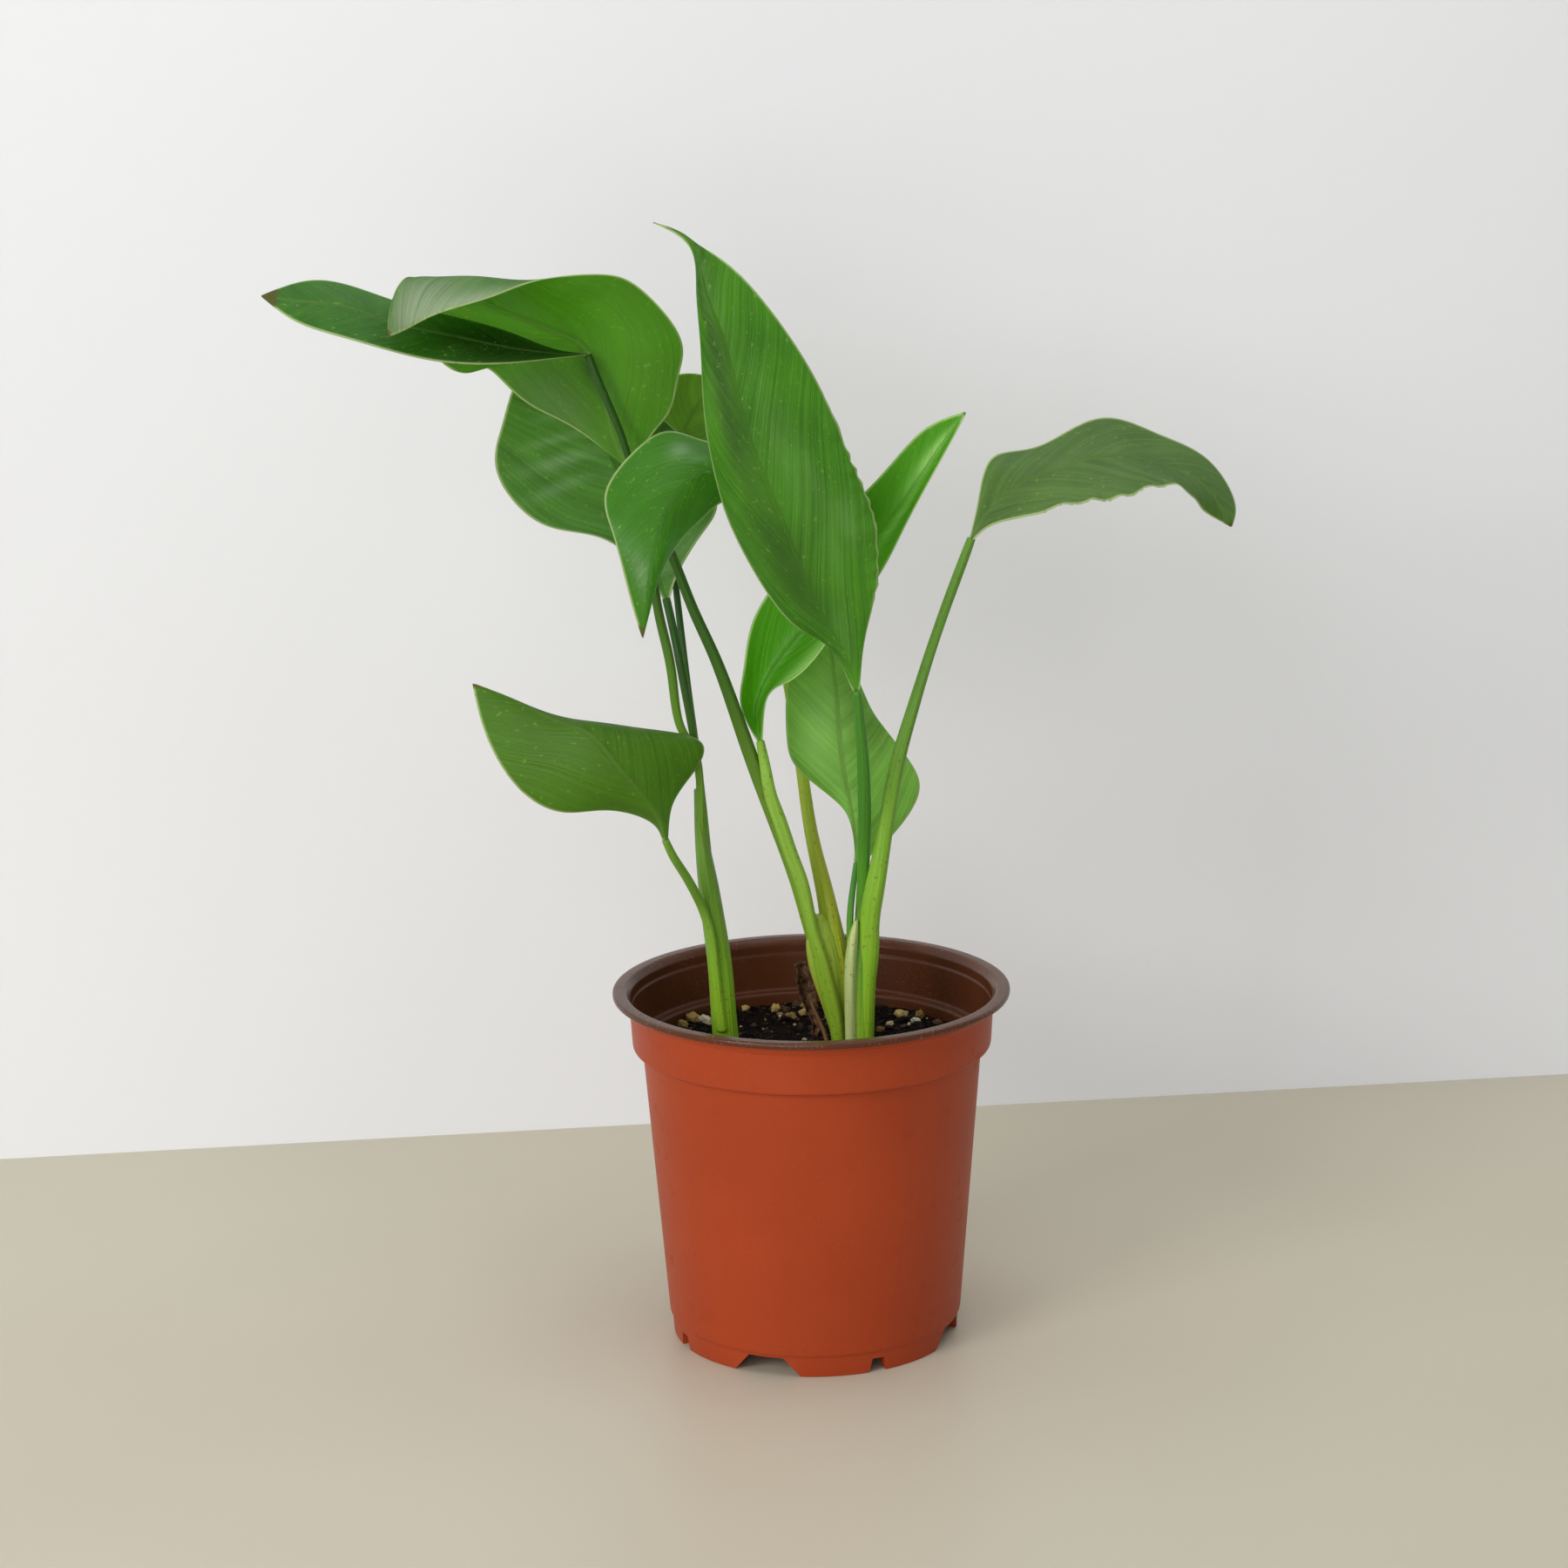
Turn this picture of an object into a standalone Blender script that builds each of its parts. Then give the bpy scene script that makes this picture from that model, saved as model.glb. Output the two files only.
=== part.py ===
"""A young bird of paradise in a thin round nursery pot.

Ten leaves rise on long petioles from three clumps of wrapped sheaths, which stand in sockets in the
soil. The soil fills a thermoformed pot that rests on eight feet. Points are in millimetres from the pot's
axis at floor level, with +X to the right, +Y to the back and +Z up, and MM turns them into metres.
The last step centres the whole object's footprint on the origin.
"""
import math
import random

import bmesh
import bpy
import numpy as np
from mathutils import Matrix, Vector

MM = 0.001

# Driving dimensions of the pot, in mm.
RIM_RADIUS = 76.2
POT_HEIGHT = 137.6
WALL = 1.2
FLANGE_WIDTH = 5.2
LIP_HEIGHT = 2.4
BAND_RADIUS = 69.8
BAND_FOOT_RADIUS = 68.9
BAND_HEIGHT = 21.3
STEP_RADIUS = 65.1
STEP_HEIGHT = 1.8
FOOT_HEIGHT = 8.0
FOOT_RADIUS = 55.2
FOOT_INSET = 0.8
FOOT_WIDTH = 3.6
WALL_FOOT_RADIUS = 56.7
POT_SIDES = 64

# Eight feet in four pairs: a narrow notch parts the two of a pair, and a wide one parts the pairs.
PAIRS = 4
NOTCH_ANGLE = 24.7
NARROW_HALF_WIDTH = 3.6
NARROW_HEIGHT = 5.6
WIDE_HALF_WIDTH = 13.4
WIDE_HEIGHT = 7.4
DRAIN_RADIUS = 5.0
DRAIN_RING = 38.0
CENTRE_HOLE = 7.0

SOIL_HEIGHT = 112.0
SOIL_RELIEF = 0.7
SOCKET_DEPTH = 9.0
GAP = 0.35

BLADE_THICKNESS = 0.7
BLADE_START = 1.4
BASE_HALF_WIDTH = 1.5
TIP_HALF_WIDTH = 0.9

# Each blade runs from its base to its tip through stations. A station holds its left margin, its midrib
# and its right margin as seen from the front.
BLADES = {
    "leaf_tall": {
        "base": (18, -26, 258),
        "stations": (
            ((9, -24, 273.5), (15, -28, 270), (21, -26, 276)),
            ((-6, -25, 284), (4, -32, 291), (26, -25, 298)),
            ((-24, -28, 313), (-6, -36, 316), (25, -26, 323)),
            ((-32, -30, 336), (-15, -39, 340), (18, -27, 342)),
            ((-36, -31, 360), (-22, -40, 361), (9, -28, 364)),
            ((-37, -32, 387), (-29, -40, 391), (-5, -32, 390)),
            ((-38, -33, 406), (-35, -38, 409), (-22, -35, 412)),
            ((-40, -34, 422), (-39, -35, 424), (-37, -34, 423)),
        ),
        "tip": (-53, -31, 431),
    },
    # The hood's right half is wide and rolls forward, so its stations have a point on the roll as well.
    "leaf_hood": {
        "base": (-63, 2, 337),
        "stations": (
            ((-74, 8, 344), (-69, 3, 346), (-63, -1, 349), (-57, -5, 350)),
            ((-89, 12, 354), (-73, 2, 361), (-61, -9, 363), (-49, -12, 361)),
            ((-106, 12, 364), (-77, 0, 376), (-59, -15, 376), (-45, -16, 376)),
            ((-117, 10, 375), (-81, -3, 385), (-61, -20, 391), (-45, -20, 390)),
            ((-123, 8, 374), (-88, -5, 389), (-70, -25, 403), (-57, -26, 406)),
            ((-131, 5, 376), (-99, -7, 394), (-83, -30, 407), (-72, -32, 413)),
            ((-137, 4, 383), (-110, -11, 399), (-99, -33, 410), (-93, -40, 412)),
            ((-139, 1, 394), (-121, -20, 407), (-116, -36, 413), (-110, -48, 407)),
            ((-141, -12, 410), (-131, -30, 412), (-132, -41, 412), (-128, -51, 402)),
            ((-145, -40, 409), (-143, -42, 411), (-142, -48, 409), (-139, -51, 397)),
        ),
        "tip": (-147, -53, 394),
    },
    "leaf_long": {
        "base": (-79, -10, 382),
        "stations": (
            ((-91, -24, 382), (-89, -16, 383), (-90, -11, 384)),
            ((-110, -38, 382), (-108, -27, 387), (-107, -14, 391)),
            ((-131, -44, 384), (-128, -31, 392), (-127, -15, 397)),
            ((-150, -46, 389), (-148, -32, 397), (-148, -15, 403)),
            ((-167, -45, 394), (-165, -32, 403), (-165, -15, 409)),
            ((-182, -40, 399), (-181, -32, 405), (-180, -20, 411)),
        ),
        "tip": (-194, -32, 407),
    },
    "leaf_broad": {
        "base": (-53, 22, 285),
        "stations": (
            ((-61, 25, 295), (-56, 28, 295), (-48, 25, 295)),
            ((-77, 26, 308), (-60, 32, 309), (-39, 27, 309)),
            ((-100, 26, 314), (-67, 34, 326), (-33, 27, 321)),
            ((-116, 26, 333), (-74, 34, 343), (-40, 28, 340)),
            ((-114, 26, 351), (-81, 33, 359), (-58, 30, 358)),
            ((-108, 24, 368), (-89, 30, 372), (-73, 28, 375)),
        ),
        "tip": (-98, 22, 382),
    },
    "leaf_back": {
        "base": (-51, 38, 303),
        "stations": (
            ((-59, 42, 316), (-50, 44, 317), (-39, 42, 316)),
            ((-62, 44, 336), (-48, 49, 337), (-29, 44, 331)),
            ((-60, 44, 357), (-42, 50, 353), (-25, 44, 344)),
            ((-46, 44, 368), (-34, 48, 361), (-24, 44, 355)),
        ),
        "tip": (-22, 42, 362),
    },
    "leaf_pointed": {
        "base": (-18, -6, 326),
        "stations": (
            ((-27, -8, 345), (-25, -13, 335), (-24, -9, 327)),
            ((-38, -10, 350), (-34, -20, 340), (-31, -14, 327)),
            ((-49, -15, 354), (-43, -27, 337), (-38, -20, 322)),
            ((-61, -23, 349), (-50, -33, 329), (-46, -27, 315)),
            ((-72, -32, 336), (-53, -37, 322), (-51, -33, 308)),
            ((-70, -38, 320), (-56, -40, 311), (-54, -37, 302)),
            ((-65, -40, 300), (-58, -42, 299), (-57, -40, 292)),
        ),
        "tip": (-60, -40, 282),
    },
    "leaf_young": {
        "base": (-18, 3, 233),
        "stations": (
            ((-25, 5, 246), (-19, 9, 243), (-15, -5, 252)),
            ((-24, 6, 260), (-14, 11, 257), (-7, -7, 258)),
            ((-20, 8, 279), (-4, 11, 271), (4, -7, 268)),
            ((-6, 8, 299), (9, 10, 288), (14, -6, 282)),
            ((11, 8, 316), (22, 8, 305), (27, -4, 297)),
            ((29, 6, 334), (35, 6, 321), (38, -2, 317)),
            ((45, 4, 351), (49, 4, 342), (52, 0, 342)),
        ),
        "tip": (60, 2, 357),
    },
    "leaf_arching": {
        "base": (62, 1, 310),
        "stations": (
            ((65, 7, 324), (69, 1, 321), (70, -5, 316)),
            ((70, 13, 338), (78, 2, 329), (83, -10, 320)),
            ((88, 17, 342), (96, 3, 336), (100, -14, 325)),
            ((111, 19, 352), (114, 3, 340), (117, -14, 327)),
            ((133, 18, 346), (131, 3, 337), (134, -12, 331)),
            ((152, 14, 336), (147, 1, 330), (145, -8, 324)),
            ((161, 7, 321), (155, 0, 320), (149, -4, 319)),
        ),
        "tip": (159, 1, 313),
    },
    "leaf_small": {
        "base": (-54.2, -14, 199.5),
        "stations": (
            ((-59, -14, 206), (-56, -17, 208), (-52, -11, 210)),
            ((-75, -17, 212), (-63, -22, 220), (-46, -6, 220)),
            ((-92, -19, 212), (-72, -25, 232), (-40, -2, 234)),
            ((-106, -19, 219), (-81, -23, 242), (-60, -4, 240)),
            ((-116, -17, 232), (-93, -17, 246), (-78, -2, 241)),
            ((-122, -13, 246), (-107, -11, 252), (-99, -2, 242)),
        ),
        "tip": (-125, -7, 259),
    },
    "leaf_low": {
        "base": (18, 8, 184),
        "stations": (
            ((15, 13, 202), (17, 10, 201), (31, 14, 192)),
            ((-2, 17, 217), (14, 12, 217), (42, 18, 207)),
            ((-8, 18, 231), (12, 14, 235), (39, 20, 221)),
            ((-8, 18, 248), (11, 15, 251), (28, 20, 236)),
            ((-4, 18, 265), (9, 16, 268), (21, 19, 250)),
        ),
        "tip": (8, 16, 284),
    },
}

# Each petiole runs up from its clump to its blade's base: x, y, z and radius.
PETIOLES = {
    "stem_tall": (
        (19.4, 4.4, 163.5, 2.2), (20.2, 2, 176, 2.3), (20.7, -1.5, 191, 2.4), (20.9, -8, 208, 2.5),
        (20.2, -17, 232, 2.2), (18, -26, 258, 1.6),
    ),
    "stem_hood": (
        (0.2, 1.2, 161, 3.1), (-4.6, 0.6, 178.7, 3.0), (-13.6, 1, 205, 2.9), (-23, 2, 231.7, 2.7),
        (-34, 0, 265, 2.2), (-42, 0, 284, 2.0), (-49, 1, 303, 1.8), (-56, 2, 320, 1.6), (-63, 2, 337, 1.3),
    ),
    "stem_long": (
        (-42.5, 2, 228.5, 1.5), (-48, 0, 240, 1.6), (-51, -1, 262, 1.8), (-55, -2, 283, 1.8),
        (-58, -5, 305, 1.5), (-62, -8, 327, 1.3), (-66, -9, 348, 1.3), (-74, -10, 369, 1.5),
        (-78.7, -10, 381.6, 1.4),
    ),
    "stem_broad": (
        (-42.5, 6.2, 228.5, 1.5), (-47, 11, 256, 1.6), (-50, 16, 272, 1.6), (-53, 22, 285, 1.6),
    ),
    "stem_back": (
        (-42.5, 10.4, 228.5, 1.4), (-45, 18, 248, 1.3), (-49, 30, 283, 1.3), (-51, 38, 303, 1.1),
    ),
    "stem_pointed": (
        (7.4, 5, 161.5, 3.4), (5.4, 9, 174, 3.3), (1, 19, 193, 2.6), (-2, 26, 214, 2.3), (-6, 30, 241, 1.8),
        (-11, 23, 273, 1.5), (-15, 8, 303, 1.3), (-17.8, -5, 325, 1.1),
    ),
    "stem_young": (
        (0.8, -5, 161, 2.4), (-2.8, -5.4, 178.6, 2.6), (-6.6, -5.2, 190, 2.6), (-11.4, -4.8, 205, 2.6),
        (-14.4, -4.2, 214, 2.4), (-16.2, -2.8, 224, 2.1), (-18, 3, 233, 1.6),
    ),
    "stem_arching": (
        (22.6, -4.5, 163.5, 3.8), (24.4, -5, 176, 3.8), (28.5, -4, 198, 3.0), (32.8, -3, 222, 2.8),
        (38.7, -1.5, 243, 2.4), (45.3, -0.5, 264, 2.0), (52.6, 0.5, 285, 1.9), (59.4, 1, 303, 1.8),
        (62, 1, 310, 1.6),
    ),
    "stem_small": (
        (-37.3, -1.4, 153.6, 1.7), (-38.7, -1.4, 161.6, 1.8), (-41.1, -2, 169.6, 1.8), (-43.9, -5, 177, 1.8),
        (-47.6, -8.5, 185, 1.7), (-51.3, -12, 192.3, 1.6), (-54.2, -14, 199.5, 1.4),
    ),
    "stem_low": (
        (15.2, 1, 163.5, 1.3), (16.2, 3.8, 173, 1.2), (18, 8, 184, 1.1),
    ),
}

# Each clump of sheaths rises from the soil: x, y, z, half width and half depth.
SHOOTS = {
    "shoot_left": (
        (-33, 7, 112, 5.2, 5.5), (-34, 6, 128, 4.9, 5.5), (-35, 6, 145, 4.7, 5.5), (-37, 6, 162, 4.4, 5.5),
        (-39, 6, 178, 3.9, 5.7), (-41.5, 6, 195, 2.9, 5.9), (-42.5, 6, 227, 2.3, 6.1),
    ),
    "shoot_middle": (
        (11.2, 3, 112, 2.8, 4.2), (9.9, 3, 121, 3.6, 4.6), (7.8, 2.4, 134, 5.4, 5.4),
        (5.8, 1.6, 145, 6.8, 6.4), (3.6, 1, 157, 7.3, 7.4),
    ),
    "shoot_right": (
        (18.6, -1, 112, 5.1, 5.5), (18.8, -1, 134, 5.6, 6.2), (19.3, -1, 146, 5.9, 6.8),
        (20.4, -0.8, 160.5, 5.9, 7.6),
    ),
}

# Where the pumice grains lie on the soil, and each one's mean radius.
GRAINS = (
    (-46.5, 38.5, 2.4), (-41.3, 37, 2.2), (-38, 45.5, 1.8), (-26, 52.5, 1.7), (-14, 52, 2.0), (-2, 54, 2.0),
    (-3, 45, 1.9), (-8, 37, 2.1), (7, 39, 1.6), (-12, 45, 1.2), (31, 31, 1.5), (27, 24, 1.5), (36, 41, 2.2),
    (43, 39.5, 2.0), (-50.5, 30, 2.1), (41, 32, 1.6),
)

# The dry remnant's ribbon: left edge, middle and right edge, from the soil up.
DRY_LEAF = (
    ((1, 14, 113), (2, 15, 113), (3, 14, 113)),
    ((-1, 15, 121), (1, 17, 121), (3, 15, 122)),
    ((-5, 14, 131), (-2, 18, 131), (1, 15, 131)),
    ((-6, 14, 142), (-3, 17, 143), (0, 15, 141)),
)


def clear_scene():
    for obj in list(bpy.data.objects):
        bpy.data.objects.remove(obj, do_unlink=True)


def material(name, colour, roughness, metallic=0.0):
    """A Principled material of one colour."""
    made = bpy.data.materials.new(name)
    made.use_nodes = True
    shader = made.node_tree.nodes["Principled BSDF"]
    shader.inputs["Base Color"].default_value = (*colour, 1.0)
    shader.inputs["Roughness"].default_value = roughness
    shader.inputs["Metallic"].default_value = metallic
    return made


def add_object(name, points, faces, finish):
    """A smooth-shaded object from points in mm, with its faces turned to point outwards."""
    mesh = bpy.data.meshes.new(name)
    mesh.from_pydata([Vector(point) * MM for point in points], [], faces)
    shape = bmesh.new()
    shape.from_mesh(mesh)
    bmesh.ops.recalc_face_normals(shape, faces=shape.faces)
    shape.to_mesh(mesh)
    shape.free()
    mesh.shade_smooth()
    mesh.set_sharp_from_angle(angle=math.radians(40))
    obj = bpy.data.objects.new(name, mesh)
    bpy.context.scene.collection.objects.link(obj)
    if finish:
        mesh.materials.append(finish)
    return obj


def hide_cutter(obj):
    obj.hide_render = True
    obj.display_type = "WIRE"


def cut(obj, cutter):
    """Takes the cutter's shape out of the object."""
    modifier = obj.modifiers.new("cut", "BOOLEAN")
    modifier.operation = "DIFFERENCE"
    modifier.solver = "EXACT"
    modifier.object = cutter


def smooth_rows(rows, knots, count):
    """Rows of numbers read evenly along a natural cubic spline that passes through the given rows."""
    rows = np.asarray(rows, float)
    knots = np.asarray(knots, float)
    last = len(knots) - 1
    steps = np.diff(knots)
    system = np.eye(last + 1)
    bends = np.zeros_like(rows)
    for i in range(1, last):
        system[i, i - 1] = steps[i - 1]
        system[i, i] = 2 * (steps[i - 1] + steps[i])
        system[i, i + 1] = steps[i]
        bends[i] = 6 * ((rows[i + 1] - rows[i]) / steps[i] - (rows[i] - rows[i - 1]) / steps[i - 1])
    bends = np.linalg.solve(system, bends)
    made = []
    for t in np.linspace(knots[0], knots[-1], count):
        i = min(int(np.searchsorted(knots, t, side="right")) - 1, last - 1)
        a = (knots[i + 1] - t) / steps[i]
        b = 1 - a
        curved = (a**3 - a) * bends[i] + (b**3 - b) * bends[i + 1]
        made.append(a * rows[i] + b * rows[i + 1] + curved * steps[i] ** 2 / 6)
    return np.array(made)


def knots_along(points):
    """A knot for each point of a path, spaced by the root of the distance between them."""
    steps = np.linalg.norm(np.diff(np.asarray(points, float), axis=0), axis=1) ** 0.5
    return np.concatenate([[0], np.cumsum(steps)])


def end_station(point, towards, station, start, half_width):
    """A short station at a blade's base or tip, across the blade as its neighbour lies."""
    point = np.array(point, float)
    inward = np.array(towards, float) - point
    point = point + start * inward / np.linalg.norm(inward)
    across = np.array(station[-1], float) - np.array(station[0], float)
    across = half_width * across / np.linalg.norm(across)
    return [point + across * share for share in np.linspace(-1, 1, len(station))]


def blade_grid(base, stations, tip, along, across):
    """Points of a blade's middle surface, as rows from the base to the tip."""
    first = end_station(base, stations[0][1], stations[0], BLADE_START, BASE_HALF_WIDTH)
    last = end_station(tip, stations[-1][1], stations[-1], 0.0, TIP_HALF_WIDTH)
    rails = np.array([first, *stations, last], float)
    rows = smooth_rows(rails.reshape(len(rails), -1), knots_along(rails[:, 1]), along)
    rows = rows.reshape(along, -1, 3)
    places = [-1, 0, 1] if rows.shape[1] == 3 else [-1, 0, 0.55, 1]
    return np.array([smooth_rows(row, places, across) for row in rows])


def thicken(grid, thickness):
    """Points and faces of the closed sheet that lies half a thickness each side of a grid."""
    along, across = grid.shape[:2]
    down = np.gradient(grid, axis=0)
    over = np.gradient(grid, axis=1)
    normal = np.cross(down, over)
    normal /= np.maximum(np.linalg.norm(normal, axis=2, keepdims=True), 1e-9)
    sheets = [grid + normal * thickness / 2, grid - normal * thickness / 2]
    points = np.concatenate([sheet.reshape(-1, 3) for sheet in sheets])
    below = along * across
    faces = []
    for i in range(along - 1):
        for j in range(across - 1):
            a = i * across + j
            quad = (a, a + 1, a + across + 1, a + across)
            faces.append(quad)
            faces.append(tuple(below + corner for corner in reversed(quad)))
    rim = [j for j in range(across)]
    rim += [i * across + across - 1 for i in range(1, along)]
    rim += [(along - 1) * across + j for j in range(across - 2, -1, -1)]
    rim += [i * across for i in range(along - 2, 0, -1)]
    for a, b in zip(rim, rim[1:] + rim[:1]):
        faces.append((b, a, below + a, below + b))
    return points, faces


def add_blade(name, blade, finish):
    long_blade = len(blade["stations"]) > 6
    along = 17 if long_blade else 13
    across = 11 if len(blade["stations"][0]) == 4 else 7
    grid = blade_grid(blade["base"], blade["stations"], blade["tip"], along, across)
    points, faces = thicken(grid, BLADE_THICKNESS)
    return add_object(name, points, faces, finish)


def sweep(path, rings, sides):
    """Points and faces of a stalk through x, y, z, half width and half depth, closed at both ends."""
    path = smooth_rows(path, knots_along([row[:3] for row in path]), rings)
    tangents = np.gradient(path[:, :3], axis=0)
    points = []
    for row, tangent in zip(path, tangents):
        side = np.cross(tangent, (0, 1, 0))
        side /= np.linalg.norm(side)
        front = np.cross(side, tangent)
        front /= np.linalg.norm(front)
        for k in range(sides):
            angle = math.tau * k / sides
            points.append(row[:3] + side * row[3] * math.cos(angle) + front * row[4] * math.sin(angle))
    faces = []
    for i in range(rings - 1):
        for k in range(sides):
            a = i * sides + k
            b = i * sides + (k + 1) % sides
            faces.append((a, b, b + sides, a + sides))
    faces.append(tuple(range(sides)))
    faces.append(tuple((rings - 1) * sides + k for k in range(sides)))
    return points, faces


def add_petiole(name, path, finish):
    round_path = [(x, y, z, radius, radius) for x, y, z, radius in path]
    points, faces = sweep(round_path, 2 * len(path), 8)
    return add_object(name, points, faces, finish)


def rooted(path, depth, extra=0.0):
    """A clump's path, carried straight down into the soil from its foot and widened all round by extra."""
    x, y, z, wide, deep = path[0]
    foot = (x, y, z - depth, wide * 0.9, deep * 0.9)
    return [(x, y, z, wide + extra, deep + extra) for x, y, z, wide, deep in (foot, *path)]


def add_shoot(name, path, finish):
    points, faces = sweep(rooted(path, SOCKET_DEPTH - GAP), 2 * len(path), 12)
    return add_object(name, points, faces, finish)


def turned(profile, sides):
    """Points and faces of a closed profile of radius and height, turned round the Z axis."""
    points = []
    for k in range(sides):
        angle = math.tau * k / sides
        points += [(r * math.cos(angle), r * math.sin(angle), z) for r, z in profile]
    faces = []
    count = len(profile)
    for k in range(sides):
        a = k * count
        b = (k + 1) % sides * count
        for i in range(count):
            j = (i + 1) % count
            faces.append((a + i, a + j, b + j, b + i))
    return points, faces


def wall_radius(height):
    """The outer radius of the tapering wall, from the foot to the step."""
    share = (height - FOOT_HEIGHT) / (POT_HEIGHT - BAND_HEIGHT - STEP_HEIGHT - FOOT_HEIGHT)
    return WALL_FOOT_RADIUS + share * (STEP_RADIUS - WALL_FOOT_RADIUS)


def pot_profile():
    """The pot's section: down the outside, under the foot, and back up the inside."""
    top = POT_HEIGHT
    under_lip = top - LIP_HEIGHT
    band_foot = top - BAND_HEIGHT
    step_foot = band_foot - STEP_HEIGHT
    floor = FOOT_HEIGHT + WALL
    outside = [
        (RIM_RADIUS, top - 0.5),
        (RIM_RADIUS, under_lip + 0.5),
        (RIM_RADIUS - 0.7, under_lip),
        (BAND_RADIUS + 0.6, under_lip - 0.4),
        (BAND_RADIUS + 0.6, top - 5.6),
        (BAND_RADIUS, top - 6.3),
        (BAND_FOOT_RADIUS, band_foot),
        (BAND_FOOT_RADIUS - 0.5, band_foot - 0.8),
        (STEP_RADIUS + 0.6, band_foot - 1.1),
        (STEP_RADIUS, step_foot),
        (WALL_FOOT_RADIUS, FOOT_HEIGHT + 0.6),
        (WALL_FOOT_RADIUS - FOOT_INSET, FOOT_HEIGHT),
        (FOOT_RADIUS, 0),
    ]
    underside = [
        (FOOT_RADIUS - FOOT_WIDTH, 0),
        (FOOT_RADIUS - FOOT_WIDTH - 0.5, FOOT_HEIGHT - 0.7),
        (FOOT_RADIUS - FOOT_WIDTH - 1.2, FOOT_HEIGHT),
        (CENTRE_HOLE, FOOT_HEIGHT),
    ]
    inside = [
        (CENTRE_HOLE, floor),
        (WALL_FOOT_RADIUS - WALL - 1.2, floor),
        (WALL_FOOT_RADIUS - WALL, floor + 1.2),
        (STEP_RADIUS - WALL, band_foot - 0.5),
        (STEP_RADIUS - WALL + 0.6, band_foot + 0.3),
        (BAND_FOOT_RADIUS - WALL - 0.6, band_foot + 0.6),
        (BAND_FOOT_RADIUS - WALL, band_foot + 1.3),
        (BAND_RADIUS - WALL, top - 6.6),
        (BAND_RADIUS - WALL + 0.6, top - 5.9),
        (BAND_RADIUS - WALL + 0.6, under_lip),
        (RIM_RADIUS - FLANGE_WIDTH, top - 0.4),
        (RIM_RADIUS - FLANGE_WIDTH + 0.7, top),
        (RIM_RADIUS - 0.6, top),
    ]
    return outside + underside + inside


def notch_points(angle, half_width, height, slope):
    """Corners of a prism that leans outwards at its foot and cuts through the foot ring at one angle."""
    inner = FOOT_RADIUS - FOOT_WIDTH - 3
    outer = FOOT_RADIUS + 4
    turn = Matrix.Rotation(math.radians(angle - 90), 4, "Z")
    section = [
        (-half_width - slope, -1),
        (half_width + slope, -1),
        (half_width, height),
        (-half_width, height),
    ]
    return [turn @ Vector((distance, across, z)) for distance in (inner, outer) for across, z in section]


def notch_cutter():
    """All the notches between the feet, as one cutter."""
    points = []
    faces = []
    for k in range(PAIRS):
        narrow = NOTCH_ANGLE + k * 360 / PAIRS
        wide = narrow + 180 / PAIRS
        for angle, half_width, height, slope in (
            (narrow, NARROW_HALF_WIDTH - 1.2, NARROW_HEIGHT, 1.4),
            (wide, WIDE_HALF_WIDTH - 6.5, WIDE_HEIGHT, 7.4),
        ):
            a = len(points)
            points += notch_points(angle, half_width, height, slope)
            faces += [(a, a + 3, a + 2, a + 1), (a + 4, a + 5, a + 6, a + 7)]
            faces += [(a + i, a + (i + 1) % 4, a + 4 + (i + 1) % 4, a + 4 + i) for i in range(4)]
    cutter = add_object("notch_cutter", points, faces, None)
    hide_cutter(cutter)
    return cutter


def drain_cutter():
    """Four round drain holes through the floor, one behind each wide notch."""
    points = []
    faces = []
    sides = 12
    for k in range(PAIRS):
        angle = math.radians(NOTCH_ANGLE + (k + 0.5) * 360 / PAIRS - 90)
        centre = Vector((DRAIN_RING * math.cos(angle), DRAIN_RING * math.sin(angle), 0))
        a = len(points)
        for z in (FOOT_HEIGHT - 2, FOOT_HEIGHT + WALL + 2):
            for i in range(sides):
                turn = math.tau * i / sides
                spoke = Vector((math.cos(turn), math.sin(turn), 0)) * DRAIN_RADIUS
                points.append(centre + spoke + Vector((0, 0, z)))
        faces.append(tuple(a + i for i in reversed(range(sides))))
        faces.append(tuple(a + sides + i for i in range(sides)))
        for i in range(sides):
            j = (i + 1) % sides
            faces.append((a + i, a + j, a + sides + j, a + sides + i))
    cutter = add_object("drain_cutter", points, faces, None)
    hide_cutter(cutter)
    return cutter


def add_pot(finish):
    pot = add_object("pot", *turned(pot_profile(), POT_SIDES), finish)
    cut(pot, notch_cutter())
    cut(pot, drain_cutter())
    return pot


def soil_top(x, y):
    """Height of the soil at a place: level, with shallow uneven humps."""
    humps = math.sin(x * 0.13 + 1.1) * math.cos(y * 0.17 - 0.4) + 0.5 * math.sin(x * 0.31 - y * 0.27)
    return SOIL_HEIGHT + SOIL_RELIEF * humps


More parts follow.
